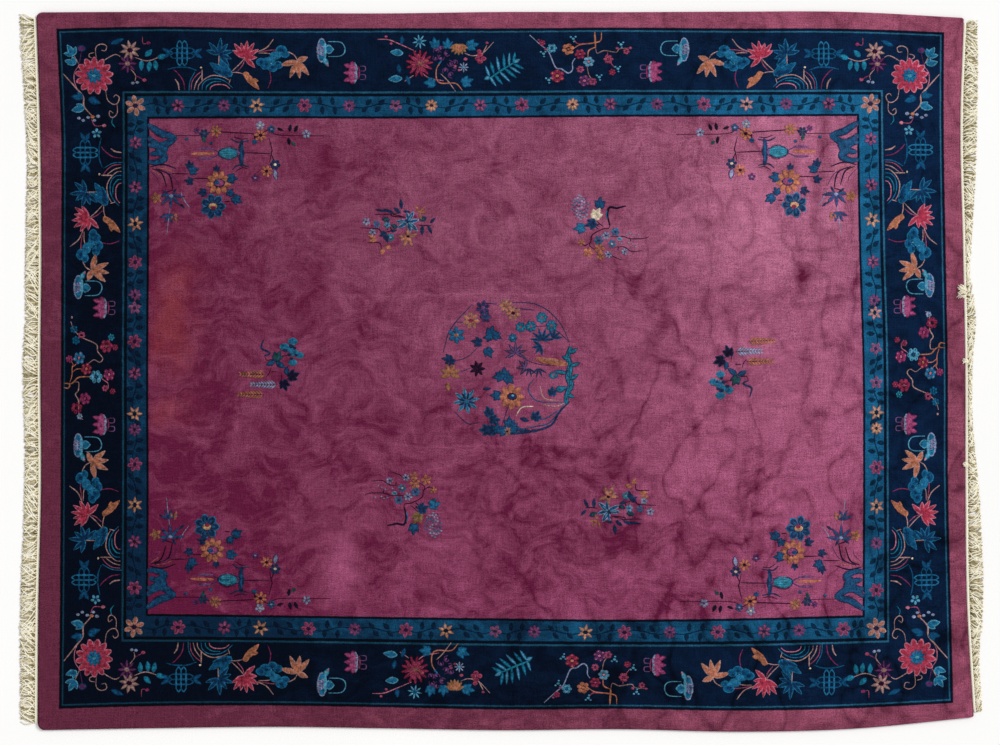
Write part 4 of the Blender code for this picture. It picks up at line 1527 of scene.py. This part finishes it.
def draw_bell_sprig(pen):
    """Bells, leaves and three flower spikes about their own middle."""
    pen.stem([(-9.2, 29), (-10.9, 24), (-10.7, 20), (-3.9, 17), (-3.4, 14.9), (-8.1, 13.3)], 2.6, "navy", 1)
    pen.stems([
        [(-8.1, 13.3), (-6, 8.6), (-1.3, 9.2), (3, 7)],
        [(8, 12.8), (16.5, 13.6)],
        [(-1.8, 0.8), (-3.4, -4.4), (-6.5, -8.1)],
        [(-0.8, -2.9), (5, -3.1)],
        [(9, -6), (9, -14), (17, -8)],
    ], 1.1, "wine")
    pen.dots([
        (11.8, 22.2, 3.8), (20.1, 27.5, 3.8), (21.7, 16, 3.6), (26.8, 13.8, 3.4), (19.9, 6.5, 3.4),
        (18, 20, 3),
    ], "blue", "teal", 1)
    pen.dots([
        (18.8, 22.8, 2.4), (13, 18.6, 2.2), (16.7, 14.4, 2), (18.8, 10.4, 1.8), (23.5, 14, 1.6),
        (22, 21, 1.8),
    ], "navy")
    pen.maples([(5, 13, 8, 60)], "green", "navy")
    pen.maples([(20.7, -6.5, 9, 20), (11.8, -16.5, 8.5, -70)], "ink", "navy")
    pen.leaves([(2, 7.5, 205, 9, 5), (3.5, 7, -34, 10.5, 5.4), (13, -5, 75, 7, 4.4)], "deep", "navy")
    for y, start, dye, rim in (
        (-5.7, -8.0, "amber", None), (-26, -10.0, "amber", None), (-16, 3.0, "mist", None),
    ):
        for k in range(9):
            x = start - 2.9 * k
            reach = 6.8 - 0.42 * k
            pen.leaves([(x, y, 138, reach, 2.2), (x, y, -138, reach, 2.2)], dye, rim)
        pen.stem([(start + 1, y), (start - 12, y - 0.4), (start - 25, y - 0.6)], 1.0, "wine")


def draw_medallion(pen):
    """The round middle of the field, about the design's middle: flowers, bamboo, a stump and a water rock."""
    pen.stems([
        [(-3, 66), (31.7, 63.7), (53.2, 47.6), (63.9, 27)],
        [(-32.6, 63.7), (-54, 39.6), (-62, 15.5)],
        [(-51.3, -43.4), (-38, -55.5), (-27, -54.2)],
        [(8, 60), (30, 58)],
        [(-8, 64), (-20, 65)],
    ], 1.4, "navy")
    pen.stem([(-21.8, -62.5), (0, -65.5), (23.7, -63.5), (45, -56.8), (53.2, -44), (63.9, -33)], 3.0, "navy")
    pen.stems([
        [(14, -61), (30, -58), (44, -54), (58, -36)],
        [(27.7, -11.3), (22.4, -20.7), (31.7, -32.7), (58.5, -34)],
        [(30, -51), (40, -50), (52, -42)],
    ], 1.7, "deep")
    pen.stems([[(34.4, -18), (38.4, -30), (53.2, -32)], [(36, -36), (50, -38), (60, -34)]], 1.8, "tan")
    pen.stem([(10.3, -48), (15.7, -39.4), (27.7, -38)], 1.5, "cream")
    pen.stems([
        [(4, -34), (0, -46), (-4, -58)],
        [(15.7, 40.9), (30, 41.5), (46.5, 42.3)],
        [(48, 40), (58, 32), (64, 26)],
        [(10, 15), (26, 6), (45, 2)],
        [(-50, 46), (-42, 46), (-36, 48)],
        [(-60, 6), (-40, 10), (-26, 22)],
        [(-35, 0), (-45, -4)],
    ], 1.1, "navy")
    pen.petal(30, 9.5, -10, 33, 6.5, "amber", "orange", 1, "round")
    pen.stem([(33, 10.4), (45, 8.5), (58, 6)], 1.0, "tan", 4)
    rock = [(65.2, 21), (62.4, 12), (64.6, 2), (62.6, -8), (65, -17), (61, -26), (60, -35)]
    pen.stem(rock, 9, "navy", 0)
    pen.stem(rock, 7, "teal", 1)
    for x, y, turn, length in (
        (64, 15, 30, 9), (62, 9, 150, 6), (65, 2, 20, 10), (61, -5, 170, 13), (65, -11, 35, 9),
        (61, -19, 195, 9), (62, -26, -25, 7),
    ):
        pen.petal(x, y, turn, length, 4, "teal", "navy", 1, "leaf")
    for shift_x, shift_y in ((-1.4, 0), (1.6, 3)):
        pen.stem([(x + shift_x * np.cos(0.4 * y), y + shift_y) for x, y in rock], 0.8, "navy", 4)
    pen.dots([(47.8, -7.3, 3.6), (54.5, -20.7, 3.4)], "teal", "deep", 1)
    pen.dot(47.8, -7.3, 1.4, "rose", None, 4)
    pen.leaves([*fan(10.3, 15, 90, 7, 230, 11, 2.2), *fan(20, 1, 160, 4, 150, 9, 2.2)], "mauve", "navy")
    pen.leaves([
        *fan(37, 28, 90, 6, 170, 12, 2.4), *fan(48, 30, 60, 4, 110, 9, 2.4),
        *fan(35.8, 22, -150, 4, 130, 9, 2.4),
    ], "navy", "deep")
    pen.leaves([*fan(24, 0, -95, 4, 110, 9, 2.2), *fan(33, 0, -85, 4, 110, 10, 2.4)], "navy")
    pen.blooms([
        (15.7, 40.9, 4.6, "teal", "rose"), (25.8, 41.7, 5, "teal", "rose"), (37, 50.3, 5.2, "teal", "rose"),
        (46.5, 42.3, 5.2, "teal", "rose"), (7.6, 30.2, 3.8, "blue", "sky"),
    ], 7, "deep")
    pen.blooms([
        (1, 62.5, 6.4, "orange", "amber"), (8.4, 55, 7, "orange", "wine"),
        (-33.9, 47.6, 8, "orange", "crimson"), (1.5, -63, 4, "amber", "ink"),
    ], 7, "clay", 0.7)
    pen.blooms([(-21.8, 60.4, 6.6, "navy", "mauve"), (-19.2, 51.3, 5.2, "deep", "navy")], 6, "purple", 0.8)
    pen.blooms([(-48.6, 32.9, 7.8, "blue", "amber")], 6, "deep", 0.8)
    pen.maples([
        (-13.8, 37, 8, 70), (-17, 31, 7, 190), (-8, 32, 7, -30), (-16.5, 15.5, 8, -60),
    ], "deep", "navy")
    pen.maples([(-28.5, 26.2, 9, 170), (-58, 9, 9, 175), (-54, 6, 7, 240)], "navy")
    pen.bloom(-28, -0.6, 7.6, 7, "ink", None, "wine", 0.6, 0, 1, "leaf")
    pen.leaves([*fan(-55, -6, 90, 6, 220, 10, 4)], "amber", "ochre")
    pen.petal(-57.5, -15, -88, 8, 4.6, "amber", "ochre", 1, "leaf")
    pen.bloom(-39.3, -32.7, 13, 8, "blue", None, "sky", 0.45, 10, 1, "leaf")
    pen.bloom(-38.8, -33, 9, 8, "navy", "blue", None, 0.6, 30, 3, "leaf")
    pen.bloom(5.8, -28.7, 12, 8, "orange", None, "amber", 0.95, 0)
    pen.dots([(6.4, -28.4, 4)], "navy", "wine", 4)
    pen.dot(7, -27.4, 1.5, "sky", None, 6)
    pen.maples([
        (-7.1, -8.6, 8, 190), (-1.2, -4.6, 8, 90), (3.6, -11.3, 8, -40), (-9.8, -27.4, 8, 180),
        (3.6, -54.2, 9, 90), (9.4, -60.5, 9, 0), (-4.4, -63, 8, 190), (-9, -60, 8, 80),
    ], "deep", "navy")
    pen.maples([
        (-17, -43.4, 8, 110), (-11, -51.5, 8, 0), (-20.5, -61.7, 9, 180), (30.4, -47.5, 8, 60),
        (46.5, -23, 7, 90), (-14, -62, 8, 90),
    ], "navy", "deep")
    pen.leaves([
        (-23, -20.7, 3, 9, 4), (14, -50, -15, 10, 5.4), (13, -63, 5, 12, 4.6), (24, -63, 8, 10, 4),
    ], "navy")


def build_field(material):
    """The field's motifs: four corners, six sprigs in opposite pairs, and the medallion."""
    strokes = {}

    def pen_for(name, *axes):
        return Pen(strokes.setdefault(name, []), *axes)

    for name, sx, sy in QUARTERS:
        pen = pen_for("field_corner_" + name, (sx * 356, sy * 250), (-sx, 0), (0, -sy))
        draw_field_corner(pen, pen.at(-6 if name == "bottom_left" else 0, 0))
    draw_iris_sprig(pen_for("sprig_top_left", (-105, 146)))
    draw_iris_sprig(pen_for("sprig_bottom_right", (111, -142), (-1, 0), (0, -1)))
    draw_branch_sprig(pen_for("sprig_top_right", (101, 143)), "cream")
    draw_branch_sprig(pen_for("sprig_bottom_left", (-96, -140), (-1, 0), (0, -1)), "ochre")
    draw_bell_sprig(pen_for("sprig_left", (-232, -2)))
    draw_bell_sprig(pen_for("sprig_right", (234, 0), (-1, 0), (0, -1)))
    draw_medallion(pen_for("medallion"))
    return [build_strokes(name, drawn, material) for name, drawn in strokes.items()]


# Fringe

CORD_SECTIONS = 9
WEB_SECTIONS = 150
WEB_TONE = 1.05
CORD_INSIDE = 0.003
CORD_TAPER = 0.35
TONE_SPREAD = 0.08

# Layers of cords from the floor up. The lowest layer's dark tone is painted shade in the gaps between the
# upper cords.
Layer = namedtuple("Layer", "count half_width height lean wander short tone")
CORD_LAYERS = (
    Layer(420, 0.0032, 0.0014, 0.004, 0.003, 0.93, 0.24),
    Layer(340, 0.0024, 0.0034, 0.012, 0.008, 0.97, 0.74),
    Layer(310, 0.0022, 0.0056, 0.024, 0.014, 0.94, 0.98),
)

# Loose tufts at the right end: the place across the rug and the reach
TUFTS = ((0.288, 0.028), (0.274, 0.036), (0.012, 0.014), (-0.385, 0.012))
TUFT_CORDS = 16
TUFT_WIDTH = 0.0017
TUFT_TONE = 0.85
TUFT_ROOT = 0.012
TUFT_TWIST = 0.05

# How a layer's cords sway together along the end: height, turns a metre, start
SWAY_WAVES = ((0.010, 9, 0.0), (0.007, 23, 1.0), (0.006, 61, 2.0))


def end_of_pile(side, v):
    """(x, y) on the pile's widest wall at one end."""
    return lay(np.full(np.shape(v), side * HALF_LENGTH), v)


def web_strip(side, half):
    """The woven strip: a rounded bar beside the pile's wall, from corner to corner."""
    v = np.linspace(-half, half, WEB_SECTIONS)
    x, y = end_of_pile(side, v)
    x = x + side * (CLEARANCE + WEB_WIDTH / 2)
    path = np.stack([x, y, np.full_like(x, WEB_HEIGHT / 2)], axis=-1)[None]
    halves = np.full((1, len(v)), WEB_WIDTH / 2)
    return strips(path, halves, np.full_like(halves, WEB_HEIGHT / 2), FLAT)


def tufts(draws):
    """Loose cords folded back over the right end of the pile, fanned about the rows of TUFTS."""
    rows = np.repeat(np.array(TUFTS), TUFT_CORDS, axis=0)
    along = np.linspace(0, 1, CORD_SECTIONS)[None, :]
    x, y = end_of_pile(1, rows[:, 0])
    turn = draws.uniform(-1.3, 1.3, len(rows))[:, None]
    reach = rows[:, 1:2] * draws.uniform(0.6, 1.0, len(rows))[:, None]
    fan_out = np.sin(turn) * reach * along**1.3
    fold = x[:, None] + TUFT_ROOT - (TUFT_ROOT + np.cos(turn) * reach) * along
    arch = THICKNESS * 0.75 + 0.003 * draws.random(len(rows))[:, None]
    height = THICKNESS * 0.6 + arch * np.sin(along * 1.9)
    return np.stack([fold, y[:, None] + fan_out + 0.004 * np.sin(6 * along + 4 * turn), height], axis=-1)


def cord_paths(level, side, column_name, half, draws):
    """One layer's paths: each cord leaves the web, leans, bends by half a sine and wanders."""
    v = np.linspace(-half + 0.003, half - 0.003, level.count)
    v = np.clip(v + draws.normal(0, 0.0015, level.count), -half + 0.002, half - 0.002)
    x, y = end_of_pile(side, v)
    reach = column(REACHES, column_name, v) - WEB_WIDTH
    reach = reach * level.short * (1 + draws.normal(0, 0.03, level.count))
    sway = sum(h * np.sin(turns * v + start) for h, turns, start in SWAY_WAVES) * level.lean / 0.012
    lean = (sway + draws.normal(0, level.lean, level.count))[:, None]
    bend = draws.normal(0, level.wander, level.count)[:, None]
    phase = draws.uniform(0, 2 * np.pi, level.count)[:, None]
    along = np.linspace(0, 1, CORD_SECTIONS)[None, :]
    run = CLEARANCE + WEB_WIDTH - CORD_INSIDE + (reach[:, None] + CORD_INSIDE) * along
    path_x = x[:, None] + side * run
    path_y = y[:, None] + lean * along**1.2 + bend * np.sin(np.pi * along)
    path_y = path_y + 0.0028 * np.sin(9 * along + phase) * along
    arch = np.sin(np.pi * np.clip(along * 1.1, 0, 1)) * 0.4 + 0.6
    path_z = np.maximum(level.height * arch, level.half_width * 0.9)
    return np.stack([path_x, path_y, np.broadcast_to(path_z, path_x.shape)], axis=-1), np.mean(reach)


def build_fringe(name, node, side, column_name, material, seed):
    """The web, three layers of twisted cords, and the right end's loose tufts."""
    draws = np.random.default_rng(seed)
    half = HALF_WIDTH - LEFT_CORNER
    parts = [web_strip(side, half)]
    maps = [np.zeros((len(parts[0][0]), 2))]
    tones = [np.full(len(parts[0][0]), WEB_TONE)]
    drawn = []
    for level in CORD_LAYERS:
        paths, reach = cord_paths(level, side, column_name, half, draws)
        drawn.append((paths, level.half_width, level.tone, reach))
    if side > 0:
        drawn.append((tufts(draws), TUFT_WIDTH, TUFT_TONE, TUFT_TWIST))
    along = np.linspace(0, 1, CORD_SECTIONS)[None, :]
    for paths, half_width, tone, reach in drawn:
        halves = np.broadcast_to(half_width * (1 - CORD_TAPER * along**3), paths.shape[:2])
        parts.append(strips(paths, halves, halves * 0.85, ROUND))
        around = np.broadcast_to(np.arange(len(ROUND)) / len(ROUND), (CORD_SECTIONS, len(ROUND)))
        run = np.broadcast_to(along.T * reach, around.shape)
        one = np.concatenate([np.stack([around, run], axis=-1).reshape(-1, 2), np.zeros((2, 2))])
        maps.append(np.tile(one, (len(paths), 1)))
        tones.append(np.repeat(np.clip(tone + draws.normal(0, TONE_SPREAD, len(paths)), 0, 1), len(one)))
    points, quads, caps = joined(parts)
    fringe = add_mesh(name, points, [quads, caps])
    set_map(fringe, "cord", np.concatenate(maps))
    set_attribute(fringe, "tone", "FLOAT", "value", tones)
    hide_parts(node)
    return wear_piece(fringe, material)


# Stage

CAMERA_AT = (-0.0065, -0.0039, 9.0)
VIEW_WIDTH = 3.82
SENSOR = 36.0
FLOOR_HALF = 14.0
SURROUND = 0.70


def add_sun(name, place, strength, angle, colour):
    """A sun that shines from a place towards the middle of the rug. Angle is how wide it is in the sky."""
    data = bpy.data.lights.new(name, "SUN")
    data.energy = strength
    data.color = colour
    data.angle = angle
    lamp = bpy.data.objects.new(name, data)
    lamp.location = place
    lamp.rotation_euler = (-lamp.location).to_track_quat("-Z", "Y").to_euler()
    bpy.context.scene.collection.objects.link(lamp)


def build_stage():
    """A plain pale floor, a soft white surround, a sun, and the camera straight above."""
    paint = Paint("pale_floor")
    tone = paint.noise(1.5, 2, 0.5)
    floor_colour = paint.mix(tone, linear(255, 255, 255), linear(251, 251, 251))
    corners = np.array([(-1, -1, 0), (1, -1, 0), (1, 1, 0), (-1, 1, 0)], float) * FLOOR_HALF
    floor = add_mesh("floor", corners, [np.arange(4)[None]])
    floor.data.materials.append(paint.finish(Base_Color=floor_colour, Roughness=0.9))
    world = bpy.data.worlds.new("studio")
    world.use_nodes = True
    world.node_tree.nodes["Background"].inputs["Color"].default_value = (1, 1, 1, 1)
    world.node_tree.nodes["Background"].inputs["Strength"].default_value = SURROUND
    bpy.context.scene.world = world
    add_sun("key", (5.0, 3.0, 4.2), 2.1, 0.35, (1.0, 0.985, 0.96))
    camera_data = bpy.data.cameras.new("camera")
    camera_data.sensor_width = SENSOR
    camera_data.lens = SENSOR * (CAMERA_AT[2] - THICKNESS) / VIEW_WIDTH
    camera = bpy.data.objects.new("camera", camera_data)
    camera.location = CAMERA_AT
    bpy.context.scene.collection.objects.link(camera)
    bpy.context.scene.camera = camera
    bpy.context.scene.view_settings.view_transform = "Standard"


wool = pile_material()
motif_wool = dyed_material()
cotton = cotton_material()
pile = build_pile(wool)
fringes = [
    build_fringe("fringe_left_cords", "fringe_left", -1, "left", cotton, 11),
    build_fringe("fringe_right_cords", "fringe_right", 1, "right", cotton, 12),
]
motifs = [*build_border(motif_wool), *build_vines(motif_wool), *build_field(motif_wool)]
build_stage()
